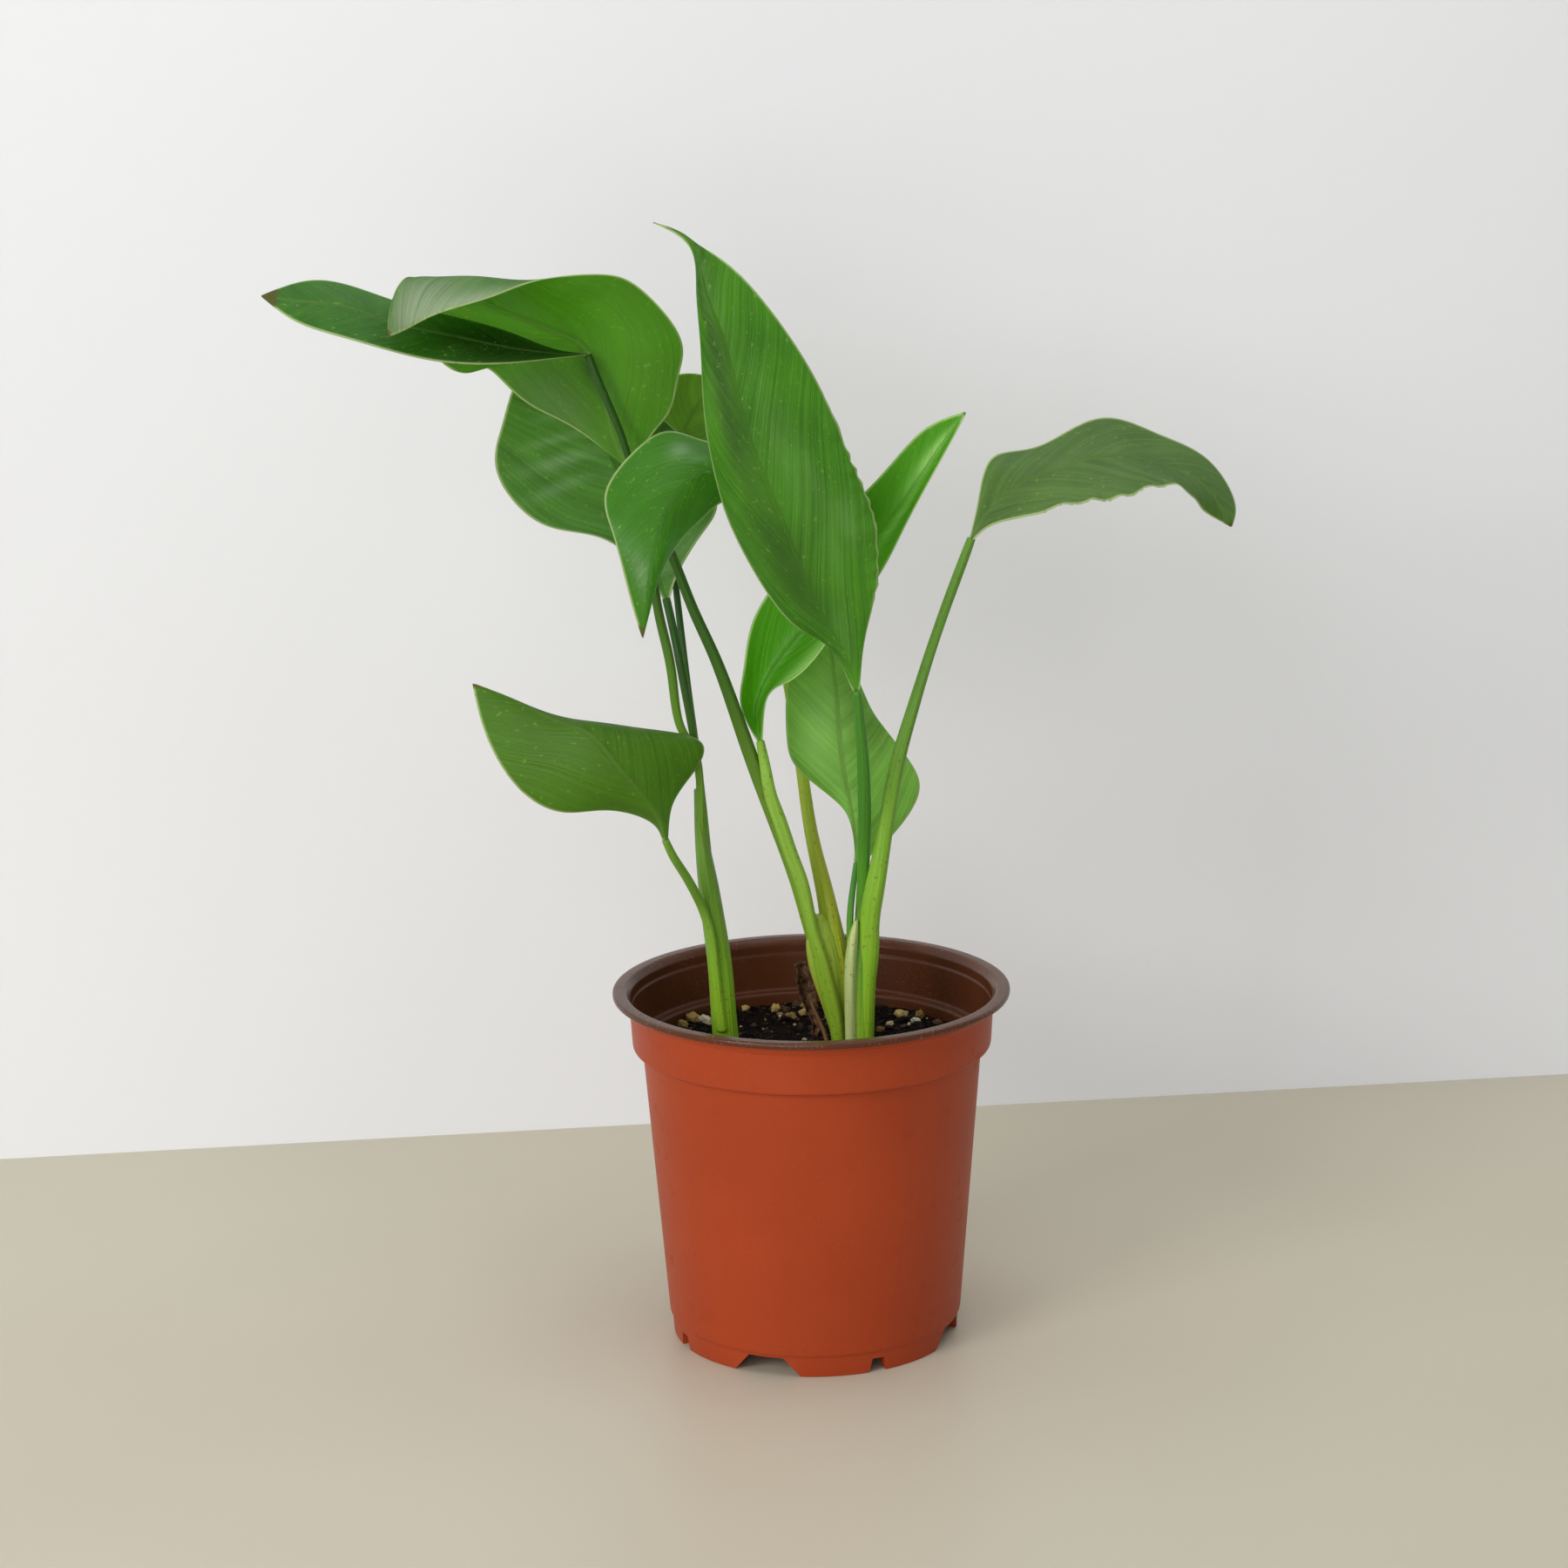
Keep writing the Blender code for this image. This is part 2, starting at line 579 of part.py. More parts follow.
def add_soil(finish):
    """The block of soil: it keeps a gap to the pot, and has a socket for each clump."""
    sides = 40
    bottom = FOOT_HEIGHT + WALL + GAP
    inner = WALL + GAP
    shoulder = SOIL_HEIGHT - 2.2
    side = [
        (WALL_FOOT_RADIUS - inner - 1.6, bottom),
        (WALL_FOOT_RADIUS - inner - 0.2, bottom + 1.6),
        (wall_radius(shoulder) - inner - 0.2, shoulder),
    ]
    points = [(0, 0, bottom)]
    rings = [(side[0][0] * 0.5, None)] + [(r, z) for r, z in side]
    rings += [(61, "top"), (48, "top"), (36, "top"), (24, "top"), (12, "top")]
    for radius, height in rings:
        for k in range(sides):
            angle = math.tau * k / sides
            x, y = radius * math.cos(angle), radius * math.sin(angle)
            z = soil_top(x, y) if height == "top" else bottom if height is None else height
            points.append((x, y, z))
    points.append((0, 0, soil_top(0, 0)))
    faces = []
    for k in range(sides):
        j = (k + 1) % sides
        faces.append((0, 1 + j, 1 + k))
        for i in range(len(rings) - 1):
            a = 1 + i * sides
            faces.append((a + k, a + j, a + sides + j, a + sides + k))
        a = 1 + (len(rings) - 1) * sides
        faces.append((a + k, a + j, len(points) - 1))
    soil = add_object("soil", points, faces, finish)
    for name, path in SHOOTS.items():
        socket = rooted(path[:2], SOCKET_DEPTH, GAP)
        cutter = add_object(name + "_socket", *sweep(socket, 4, 12), None)
        hide_cutter(cutter)
        cut(soil, cutter)
    return soil


def add_grain(name, x, y, radius, finish):
    """A rough lump that rests just above the soil."""
    chance = random.Random(name)
    shape = bmesh.new()
    bmesh.ops.create_icosphere(shape, subdivisions=1, radius=radius)
    stretch = Vector((chance.uniform(0.85, 1.25), chance.uniform(0.8, 1.1), chance.uniform(0.6, 0.85)))
    for vertex in shape.verts:
        vertex.co = vertex.co * stretch * chance.uniform(0.85, 1.1)
    lowest = min(vertex.co.z for vertex in shape.verts)
    shape.verts.index_update()
    points = [vertex.co.copy() for vertex in shape.verts]
    faces = [tuple(vertex.index for vertex in face.verts) for face in shape.faces]
    shape.free()
    near = [soil_top(x + dx, y + dy) for dx in (-radius, 0, radius) for dy in (-radius, 0, radius)]
    place = Vector((x, y, max(near) + GAP - lowest))
    return add_object(name, [point + place for point in points], faces, finish)


def add_dry_leaf(finish):
    rows = np.array(DRY_LEAF, float)
    rows = smooth_rows(rows.reshape(len(rows), -1), knots_along(rows[:, 1]), 9).reshape(9, -1, 3)
    grid = np.array([smooth_rows(row, [-1, 0, 1], 5) for row in rows])
    points, faces = thicken(grid, BLADE_THICKNESS)
    return add_object("dry_leaf", points, faces, finish)


def centre_footprint(objects):
    """Hangs everything from one empty and moves it, so that the footprint's middle is the origin."""
    corners = [v.co for obj in objects for v in obj.data.vertices]
    low = Vector([min(c[i] for c in corners) for i in range(3)])
    high = Vector([max(c[i] for c in corners) for i in range(3)])
    stand = bpy.data.objects.new("stand", None)
    bpy.context.scene.collection.objects.link(stand)
    for obj in list(bpy.data.objects):
        if obj is not stand:
            obj.parent = stand
    middle = (low + high) / 2
    stand.location = (-middle.x, -middle.y, 0)


def main():
    clear_scene()
    green = material("blade_green", (0.06, 0.20, 0.02), 0.42)
    stem_green = material("petiole_green", (0.20, 0.42, 0.06), 0.40)
    made = [add_pot(material("pot_plastic", (0.36, 0.06, 0.02), 0.45))]
    made.append(add_soil(material("potting_mix", (0.016, 0.011, 0.008), 0.95)))
    made += [add_shoot(name, path, stem_green) for name, path in SHOOTS.items()]
    made += [add_petiole(name, path, stem_green) for name, path in PETIOLES.items()]
    made += [add_blade(name, blade, green) for name, blade in BLADES.items()]
    pumice = material("pumice", (0.50, 0.43, 0.26), 0.9)
    for number, (x, y, radius) in enumerate(GRAINS, 1):
        made.append(add_grain(f"grain_{number}", x, y, radius, pumice))
    made.append(add_dry_leaf(material("dry_brown", (0.10, 0.05, 0.03), 0.85)))
    centre_footprint(made)


main()
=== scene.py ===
"""A young bird of paradise in a thin round nursery pot, on a pale table against a pale wall.

Points are in millimetres from the pot's axis at floor level, with +X to the right, +Y to the back and
+Z up. make_piece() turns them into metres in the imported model's frame.
"""
import math
import random

import bmesh
import bpy
import numpy as np
from mathutils import Euler, Matrix, Vector, noise


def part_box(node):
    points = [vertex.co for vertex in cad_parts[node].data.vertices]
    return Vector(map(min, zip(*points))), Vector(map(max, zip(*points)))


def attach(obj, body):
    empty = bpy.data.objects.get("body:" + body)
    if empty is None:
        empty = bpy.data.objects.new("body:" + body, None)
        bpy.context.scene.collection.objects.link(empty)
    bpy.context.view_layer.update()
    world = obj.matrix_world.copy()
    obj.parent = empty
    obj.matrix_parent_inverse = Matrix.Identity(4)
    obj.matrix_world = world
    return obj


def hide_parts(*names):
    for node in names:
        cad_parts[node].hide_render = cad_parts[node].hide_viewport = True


MM = 0.001

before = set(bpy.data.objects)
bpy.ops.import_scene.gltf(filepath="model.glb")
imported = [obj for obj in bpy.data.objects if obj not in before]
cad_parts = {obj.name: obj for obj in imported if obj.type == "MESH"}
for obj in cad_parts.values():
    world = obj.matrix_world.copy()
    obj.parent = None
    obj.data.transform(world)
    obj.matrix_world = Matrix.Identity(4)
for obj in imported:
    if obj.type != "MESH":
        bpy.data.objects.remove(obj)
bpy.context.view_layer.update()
POT_LOW, POT_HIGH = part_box("pot")
AXIS = np.array([(POT_LOW[0] + POT_HIGH[0]) / 2, (POT_LOW[1] + POT_HIGH[1]) / 2, POT_LOW[2]])

# The pot, in mm.
RIM_RADIUS = 76.2
POT_HEIGHT = 137.6
WALL = 1.2
FLANGE_WIDTH = 5.2
LIP_HEIGHT = 2.4
BAND_RADIUS = 69.8
BAND_FOOT_RADIUS = 68.9
BAND_HEIGHT = 21.3
STEP_RADIUS = 65.1
STEP_HEIGHT = 1.8
FOOT_HEIGHT = 8.0
FOOT_RADIUS = 55.2
FOOT_WIDTH = 3.6
WALL_FOOT_RADIUS = 56.7
POT_SIDES = 176
PAIRS = 4
NOTCH_ANGLE = 24.7
DRAIN_RADIUS = 5.0
DRAIN_RING = 38.0
CENTRE_HOLE = 7.0
SOIL_HEIGHT = 112.2
CORNER_RADIUS = 0.55

# How finely the pieces are cut up.
BLADE_ROWS = 120
BLADE_COLUMNS = 45
RINGS_PER_POINT = 14
PETIOLE_SIDES = 28
CLUMP_RINGS = 60
CLUMP_SIDES = 36
SHEATH_COLUMNS = 17
DRY_ROWS = 40
DRY_COLUMNS = 21
SOIL_SIDES = 200
SOIL_RINGS = 84

# The loose material on the soil.
CRUMB_SEED = 41
CRUMBS = 420
GRIT = 110
SCATTER_RADIUS = 62.5

# How far the pieces' surfaces lie from their middle, in mm.
RIB_HALF_WIDTH = 1.25
RIB_GROOVE = 0.32
RIB_HEIGHT = 0.75
DRY_HALF_THICKNESS = 0.12

# Each blade runs from its base to its tip through stations: left margin, midrib and right margin as seen
# from the front. The hood has a point on its roll as well.
BLADES = {
    "leaf_tall": {
        "base": (18, -26, 258),
        "stations": (
            ((9, -24, 273.5), (15, -28, 270), (21, -26, 276)),
            ((-6, -25, 284), (4, -32, 291), (26, -25, 298)),
            ((-24, -28, 313), (-6, -36, 316), (25, -26, 323)),
            ((-32, -30, 336), (-15, -39, 340), (18, -27, 342)),
            ((-36, -31, 360), (-22, -40, 361), (9, -28, 364)),
            ((-37, -32, 387), (-29, -40, 391), (-5, -32, 390)),
            ((-38, -33, 406), (-35, -38, 409), (-22, -35, 412)),
            ((-40, -34, 422), (-39, -35, 424), (-37, -34, 423)),
        ),
        "tip": (-53, -31, 431),
    },
    "leaf_hood": {
        "base": (-63, 2, 337),
        "stations": (
            ((-74, 8, 344), (-69, 3, 346), (-63, -1, 349), (-57, -5, 350)),
            ((-89, 12, 354), (-73, 2, 361), (-61, -9, 363), (-49, -12, 361)),
            ((-106, 12, 364), (-77, 0, 376), (-59, -15, 376), (-45, -16, 376)),
            ((-117, 10, 375), (-81, -3, 385), (-61, -20, 391), (-45, -20, 390)),
            ((-123, 8, 374), (-88, -5, 389), (-70, -25, 403), (-57, -26, 406)),
            ((-131, 5, 376), (-99, -7, 394), (-83, -30, 407), (-72, -32, 413)),
            ((-137, 4, 383), (-110, -11, 399), (-99, -33, 410), (-93, -40, 412)),
            ((-139, 1, 394), (-121, -20, 407), (-116, -36, 413), (-110, -48, 407)),
            ((-141, -12, 410), (-131, -30, 412), (-132, -41, 412), (-128, -51, 402)),
            ((-145, -40, 409), (-143, -42, 411), (-142, -48, 409), (-139, -51, 397)),
        ),
        "tip": (-147, -53, 394),
    },
    "leaf_long": {
        "base": (-79, -10, 382),
        "stations": (
            ((-91, -24, 382), (-89, -16, 383), (-90, -11, 384)),
            ((-110, -38, 382), (-108, -27, 387), (-107, -14, 391)),
            ((-131, -44, 384), (-128, -31, 392), (-127, -15, 397)),
            ((-150, -46, 389), (-148, -32, 397), (-148, -15, 403)),
            ((-167, -45, 394), (-165, -32, 403), (-165, -15, 409)),
            ((-182, -40, 399), (-181, -32, 405), (-180, -20, 411)),
        ),
        "tip": (-194, -32, 407),
    },
    "leaf_broad": {
        "base": (-53, 22, 285),
        "stations": (
            ((-61, 25, 295), (-56, 28, 295), (-48, 25, 295)),
            ((-77, 26, 308), (-60, 32, 309), (-39, 27, 309)),
            ((-100, 26, 314), (-67, 34, 326), (-33, 27, 321)),
            ((-116, 26, 333), (-74, 34, 343), (-40, 28, 340)),
            ((-114, 26, 351), (-81, 33, 359), (-58, 30, 358)),
            ((-108, 24, 368), (-89, 30, 372), (-73, 28, 375)),
        ),
        "tip": (-98, 22, 382),
    },
    "leaf_back": {
        "base": (-51, 38, 303),
        "stations": (
            ((-59, 42, 316), (-50, 44, 317), (-39, 42, 316)),
            ((-62, 44, 336), (-48, 49, 337), (-29, 44, 331)),
            ((-60, 44, 357), (-42, 50, 353), (-25, 44, 344)),
            ((-46, 44, 368), (-34, 48, 361), (-24, 44, 355)),
        ),
        "tip": (-22, 42, 362),
    },
    "leaf_pointed": {
        "base": (-18, -6, 326),
        "stations": (
            ((-27, -8, 345), (-25, -13, 335), (-24, -9, 327)),
            ((-38, -10, 350), (-34, -20, 340), (-31, -14, 327)),
            ((-49, -15, 354), (-43, -27, 337), (-38, -20, 322)),
            ((-61, -23, 349), (-50, -33, 329), (-46, -27, 315)),
            ((-72, -32, 336), (-53, -37, 322), (-51, -33, 308)),
            ((-70, -38, 320), (-56, -40, 311), (-54, -37, 302)),
            ((-65, -40, 300), (-58, -42, 299), (-57, -40, 292)),
        ),
        "tip": (-60, -40, 282),
    },
    "leaf_young": {
        "base": (-18, 3, 233),
        "stations": (
            ((-25, 5, 246), (-19, 9, 243), (-15, -5, 252)),
            ((-24, 6, 260), (-14, 11, 257), (-7, -7, 258)),
            ((-20, 8, 279), (-4, 11, 271), (4, -7, 268)),
            ((-6, 8, 299), (9, 10, 288), (14, -6, 282)),
            ((11, 8, 316), (22, 8, 305), (27, -4, 297)),
            ((29, 6, 334), (35, 6, 321), (38, -2, 317)),
            ((45, 4, 351), (49, 4, 342), (52, 0, 342)),
        ),
        "tip": (60, 2, 357),
    },
    "leaf_arching": {
        "base": (62, 1, 310),
        "stations": (
            ((65, 7, 324), (69, 1, 321), (70, -5, 316)),
            ((70, 13, 338), (78, 2, 329), (83, -10, 320)),
            ((88, 17, 342), (96, 3, 336), (100, -14, 325)),
            ((111, 19, 352), (114, 3, 340), (117, -14, 327)),
            ((133, 18, 346), (131, 3, 337), (134, -12, 331)),
            ((152, 14, 336), (147, 1, 330), (145, -8, 324)),
            ((161, 7, 321), (155, 0, 320), (149, -4, 319)),
        ),
        "tip": (159, 1, 313),
    },
    "leaf_small": {
        "base": (-54.2, -14, 199.5),
        "stations": (
            ((-59, -14, 206), (-56, -17, 208), (-52, -11, 210)),
            ((-75, -17, 212), (-63, -22, 220), (-46, -6, 220)),
            ((-92, -19, 212), (-72, -25, 232), (-40, -2, 234)),
            ((-106, -19, 219), (-81, -23, 242), (-60, -4, 240)),
            ((-116, -17, 232), (-93, -17, 246), (-78, -2, 241)),
            ((-122, -13, 246), (-107, -11, 252), (-99, -2, 242)),
        ),
        "tip": (-125, -7, 259),
    },
    "leaf_low": {
        "base": (18, 8, 184),
        "stations": (
            ((15, 13, 202), (17, 10, 201), (31, 14, 192)),
            ((-2, 17, 217), (14, 12, 217), (42, 18, 207)),
            ((-8, 18, 231), (12, 14, 235), (39, 20, 221)),
            ((-8, 18, 248), (11, 15, 251), (28, 20, 236)),
            ((-4, 18, 265), (9, 16, 268), (21, 19, 250)),
        ),
        "tip": (8, 16, 284),
    },
}

# Each petiole runs up to its blade's base: x, y, z and radius. Its foot is hidden in its clump.
PETIOLES = {
    "stem_tall": (
        (18.6, 3, 113, 2.4), (18.8, 3.6, 140, 2.4),
        (19.4, 4.4, 163.5, 2.2), (20.2, 2, 176, 2.3), (20.7, -1.5, 191, 2.4), (20.9, -8, 208, 2.5),
        (20.2, -17, 232, 2.2), (18, -26, 258, 1.6),
    ),
    "stem_hood": (
        (10.7, 3, 113, 2.8), (9.0, 2.6, 125, 3.2), (5.4, 2.2, 138.4, 3.3), (2.6, 1.8, 152, 3.2),
        (0.2, 1.2, 161, 3.1), (-4.6, 0.6, 178.7, 3.0), (-13.6, 1, 205, 2.9), (-23, 2, 231.7, 2.7),
        (-34, 0, 265, 2.2), (-42, 0, 284, 2.0), (-49, 1, 303, 1.8), (-56, 2, 320, 1.6), (-63, 2, 337, 1.3),
    ),
    "stem_long": (
        (-39.5, 3, 178, 1.7), (-41.2, 3, 203, 1.6),
        (-42.5, 2, 228.5, 1.5), (-48, 0, 240, 1.6), (-51, -1, 262, 1.8), (-55, -2, 283, 1.8),
        (-58, -5, 305, 1.5), (-62, -8, 327, 1.3), (-66, -9, 348, 1.3), (-74, -10, 369, 1.5),
        (-78.7, -10, 381.6, 1.4),
    ),
    "stem_broad": (
        (-39, 6, 190, 1.6),
        (-42.5, 6.2, 228.5, 1.5), (-47, 11, 256, 1.6), (-50, 16, 272, 1.6), (-53, 22, 285, 1.6),
    ),
    "stem_back": (
        (-39, 9, 190, 1.4),
        (-42.5, 10.4, 228.5, 1.4), (-45, 18, 248, 1.3), (-49, 30, 283, 1.3), (-51, 38, 303, 1.1),
    ),
    "stem_pointed": (
        (12.4, 3, 113, 2.4), (11.4, 3, 135.6, 3.8), (9.8, 3.6, 149.2, 4.5),
        (7.8, 5, 161.5, 4.0), (5.4, 9, 174, 3.3), (1, 19, 193, 2.6), (-2, 26, 214, 2.3), (-6, 30, 241, 1.8),
        (-11, 23, 273, 1.5), (-15, 8, 303, 1.3), (-17.8, -5, 325, 1.1),
    ),
    "stem_young": (
        (10.6, -1, 113, 2.4), (9.2, -1.6, 125, 3.0), (6.2, -2.6, 138.4, 3.2), (3.2, -4, 152, 2.9),
        (0.8, -5, 161, 2.4), (-2.8, -5.4, 178.6, 2.6), (-6.6, -5.2, 190, 2.6), (-11.4, -4.8, 205, 2.6),
        (-14.4, -4.2, 214, 2.4), (-16.2, -2.8, 224, 2.1), (-18, 3, 233, 1.6),
    ),
    "stem_arching": (
        (19.8, -2, 112, 3.8), (20.2, -2.6, 124.7, 3.95), (20.9, -3.4, 140, 3.9), (22.0, -4, 151.6, 4.05),
        (22.6, -4.5, 163.5, 3.8), (24.4, -5, 176, 3.8), (28.5, -4, 198, 3.0), (32.8, -3, 222, 2.8),
        (38.7, -1.5, 243, 2.4), (45.3, -0.5, 264, 2.0), (52.6, 0.5, 285, 1.9), (59.4, 1, 303, 1.8),
        (62, 1, 310, 1.6),
    ),
    "stem_small": (
        (-34.6, 1, 120, 2.2), (-36.2, -0.4, 138, 1.9),
        (-37.3, -1.4, 153.6, 1.7), (-38.7, -1.4, 161.6, 1.8), (-41.1, -2, 169.6, 1.8), (-43.9, -5, 177, 1.8),
        (-47.6, -8.5, 185, 1.7), (-51.3, -12, 192.3, 1.6), (-54.2, -14, 199.5, 1.4),
    ),
    "stem_low": (
        (15.4, 1, 145, 1.6),
        (15.2, 1, 163.5, 1.3), (16.2, 3.8, 173, 1.2), (18, 8, 184, 1.1),
    ),
}

# Each clump of sheaths rises from the soil: x, y, z, half width and half depth.
SHOOTS = {
    "shoot_left": (
        (-32.6, 7, 108, 5.6, 5.6), (-33, 7, 112, 5.2, 5.5), (-34, 6, 128, 4.9, 5.5), (-35, 6, 145, 4.7, 5.5),
        (-37, 6, 162, 4.4, 5.5), (-39, 6, 178, 3.8, 5.6), (-41, 6, 195, 2.6, 5.2), (-42.2, 6, 214, 1.4, 3.4),
    ),
    "shoot_middle": (
        (11.6, 3, 108, 2.4, 4.2), (11.2, 3, 113, 2.6, 4.4), (9.9, 3, 121, 3.4, 4.8),
        (7.8, 2.6, 134, 5.2, 5.0), (5.8, 2, 145, 6.5, 5.2), (3.9, 2, 156, 5.6, 5.0), (2.9, 2, 165, 2.4, 2.6),
    ),
    "shoot_right": (
        (18.6, -1, 108, 4.8, 5.2), (18.8, -1, 119, 5.0, 5.4), (19.0, -1, 137, 5.4, 5.6),
        (19.8, -1, 150, 5.4, 5.6), (21.2, -1, 163, 4.4, 4.6), (22.6, -1, 176, 2.0, 2.2),
    ),
}

# Where the pumice grains lie on the soil, and each one's mean radius.
GRAINS = (
    (-46.5, 38.5, 2.4), (-41.3, 37, 2.2), (-38, 45.5, 1.8), (-26, 52.5, 1.7), (-14, 52, 2.0), (-2, 54, 2.0),
    (-3, 45, 1.9), (-8, 37, 2.1), (7, 39, 1.6), (-12, 45, 1.2), (31, 31, 1.5), (27, 24, 1.5), (36, 41, 2.2),
    (43, 39.5, 2.0), (-50.5, 30, 2.1), (41, 32, 1.6),
)

# The dry remnant's ribbon: left edge, middle and right edge, from the soil up.
DRY_LEAF = (
    ((1, 14, 113), (2, 15, 113), (3, 14, 113)),
    ((-1, 15, 121), (1, 17, 121), (3, 15, 122)),
    ((-5, 14, 131), (-2, 18, 131), (1, 15, 131)),
    ((-6, 14, 142), (-3, 17, 143), (0, 15, 141)),
)


def rgb(red, green, blue):
    """A display colour, 0 to 255, as linear light."""
    shares = [value / 255 for value in (red, green, blue)]
    return tuple(s / 12.92 if s <= 0.04045 else ((s + 0.055) / 1.055) ** 2.4 for s in shares)


# ---------------------------------------------------------------- materials


class Shader:
    """Builds one node material, a step at a time."""

    def __init__(self, name):
        self.material = bpy.data.materials.new(name)
        self.material.use_nodes = True
        self.tree = self.material.node_tree
        self.tree.nodes.clear()
        self.place = self.node("ShaderNodeTexCoord").outputs["Object"]

    def node(self, kind, sockets=None, **settings):
        made = self.tree.nodes.new(kind)
        for key, value in settings.items():
            setattr(made, key, value)
        for key, value in (sockets or {}).items():
            self.give(made.inputs[key], value)
        return made

    def give(self, socket, value):
        if isinstance(value, bpy.types.NodeSocket):
            self.tree.links.new(value, socket)
        elif isinstance(value, tuple) and socket.type == "RGBA":
            socket.default_value = (*value, 1.0)
        else:
            socket.default_value = value

    def attribute(self, name, vector=False):
        made = self.node("ShaderNodeAttribute", attribute_name=name)
        return made.outputs["Vector" if vector else "Fac"]

    def math(self, operation, a, b=0.0, clamp=False):
        made = self.node("ShaderNodeMath", {0: a, 1: b}, operation=operation, use_clamp=clamp)
        return made.outputs[0]

    def times(self, a, b, clamp=False):
        return self.math("MULTIPLY", a, b, clamp)

    def plus(self, a, b, clamp=False):
        return self.math("ADD", a, b, clamp)

    def weigh(self, *parts):
        """Each part times its weight, added up."""
        total = self.times(*parts[0])
        for part in parts[1:]:
            total = self.plus(total, self.times(*part))
        return total

    def between(self, value, start, stop, low=0.0, high=1.0):
        """low up to start, high from stop on, and a smooth rise between."""
        made = self.node(
            "ShaderNodeMapRange",
            {"Value": value, "From Min": start, "From Max": stop, "To Min": low, "To Max": high},
            interpolation_type="SMOOTHSTEP",
        )
        return made.outputs["Result"]

    def noise(self, vector, scale, detail=2.0, rough=0.5):
        """Noise from about 0 to 1."""
        made = self.node(
            "ShaderNodeTexNoise", {"Vector": vector, "Scale": scale, "Detail": detail, "Roughness": rough}
        )
        return self.between(made.outputs["Fac"], 0.28, 0.72)

    def mix(self, share, a, b):
        made = self.node("ShaderNodeMix", {"Factor": share, "A": a, "B": b}, data_type="RGBA")
        return made.outputs["Result"]

    def bump(self, height, strength, distance):
        made = self.node("ShaderNodeBump", {"Height": height, "Strength": strength, "Distance": distance})
        return made.outputs["Normal"]

    def surface(self, colour, roughness, normal=None, **more):
        sockets = {"Base Color": colour, "Roughness": roughness}
        if normal is not None:
            sockets["Normal"] = normal
        sockets.update({key.replace("_", " "): value for key, value in more.items()})
        return self.node("ShaderNodeBsdfPrincipled", sockets).outputs["BSDF"]

    def finish(self, shader):
        self.node("ShaderNodeOutputMaterial", {"Surface": shader})
        return self.material

    def finish_thin(self, shader, glow, share, normal):
        """A surface that also lets light through."""
        through = self.node("ShaderNodeBsdfTranslucent", {"Color": glow, "Normal": normal}).outputs[0]
        both = self.node("ShaderNodeMixShader", {0: share, 1: shader, 2: through}).outputs[0]
        return self.finish(both)


def leaf_finish(name, look):
    """A living blade. Its attributes hold distances in mm: grain across the side veins, mid from the midrib,
    edge from the margin, tip from the tip. under is 1 on the lower side. sheen marks painted highlights and
    reflections that lighten places, and shade marks painted shadow that darkens them."""
    s = Shader(name)
    grain = s.attribute("grain", vector=True)
    under = s.attribute("under")
    bands = s.noise(grain, 0.16, 1.0)
    lines = s.noise(grain, 0.75, 2.0)
    hairs = s.noise(grain, 2.6, 1.0)
    cloud = s.noise(s.place, 38.0, 3.0)
    tone = s.weigh((bands, look["bands"]), (lines, look["lines"]), (hairs, 0.10))
    tone = s.plus(tone, s.times(cloud, 0.42), clamp=True)
    colour = s.mix(tone, look["dark"], look["light"])
    colour = s.mix(s.times(under, look["dull"]), colour, look["under"])
    # Painted shadow and painted highlight: the shade attribute darkens the colour and the sheen attribute
    # lightens it, streaked along the veins.
    streaks = s.plus(0.72, s.times(lines, 0.4))
    shade = s.times(s.attribute("shade"), streaks, clamp=True)
    colour = s.mix(shade, colour, look["shade"])
    sheen = s.times(s.attribute("sheen"), streaks, clamp=True)
    colour = s.mix(sheen, colour, look["sheen"])
    rib = s.between(s.attribute("mid"), look["rib"] * 0.4, look["rib"] * 1.3, look["rib_share"], 0.0)
    colour = s.mix(rib, colour, look["pale"])
    margin = s.between(s.attribute("edge"), 0.35, 1.15, look["rim_share"], 0.0)
    colour = s.mix(margin, colour, look["margin"])
    speck = s.between(s.noise(s.place, 620.0, 1.0), 0.985, 1.0, 0.0, 0.6)
    colour = s.mix(speck, colour, look["pale"])
    tip = s.plus(s.attribute("tip"), s.times(s.noise(s.place, 300.0), 1.5))
    colour = s.mix(s.between(tip, look["brown"], look["brown"] + 2.2, 0.95, 0.0), colour, rgb(104, 72, 34))
    height = s.weigh((bands, 0.9), (lines, 0.35), (hairs, 0.08), (cloud, 1.1))
    normal = s.bump(height, look["relief"], 0.0006)
    roughness = s.plus(look["rough"], s.times(lines, 0.1))
    shader = s.surface(colour, roughness, normal, Specular_IOR_Level=look["gloss"])
    glow = s.mix(tone, look["glow"], look["glow_light"])
    # The painted shadow darkens the light let through as well.
    glow = s.mix(shade, glow, look["shade"])
    glow = s.mix(rib, glow, look["pale"])
    return s.finish_thin(shader, glow, look["thin"], normal)


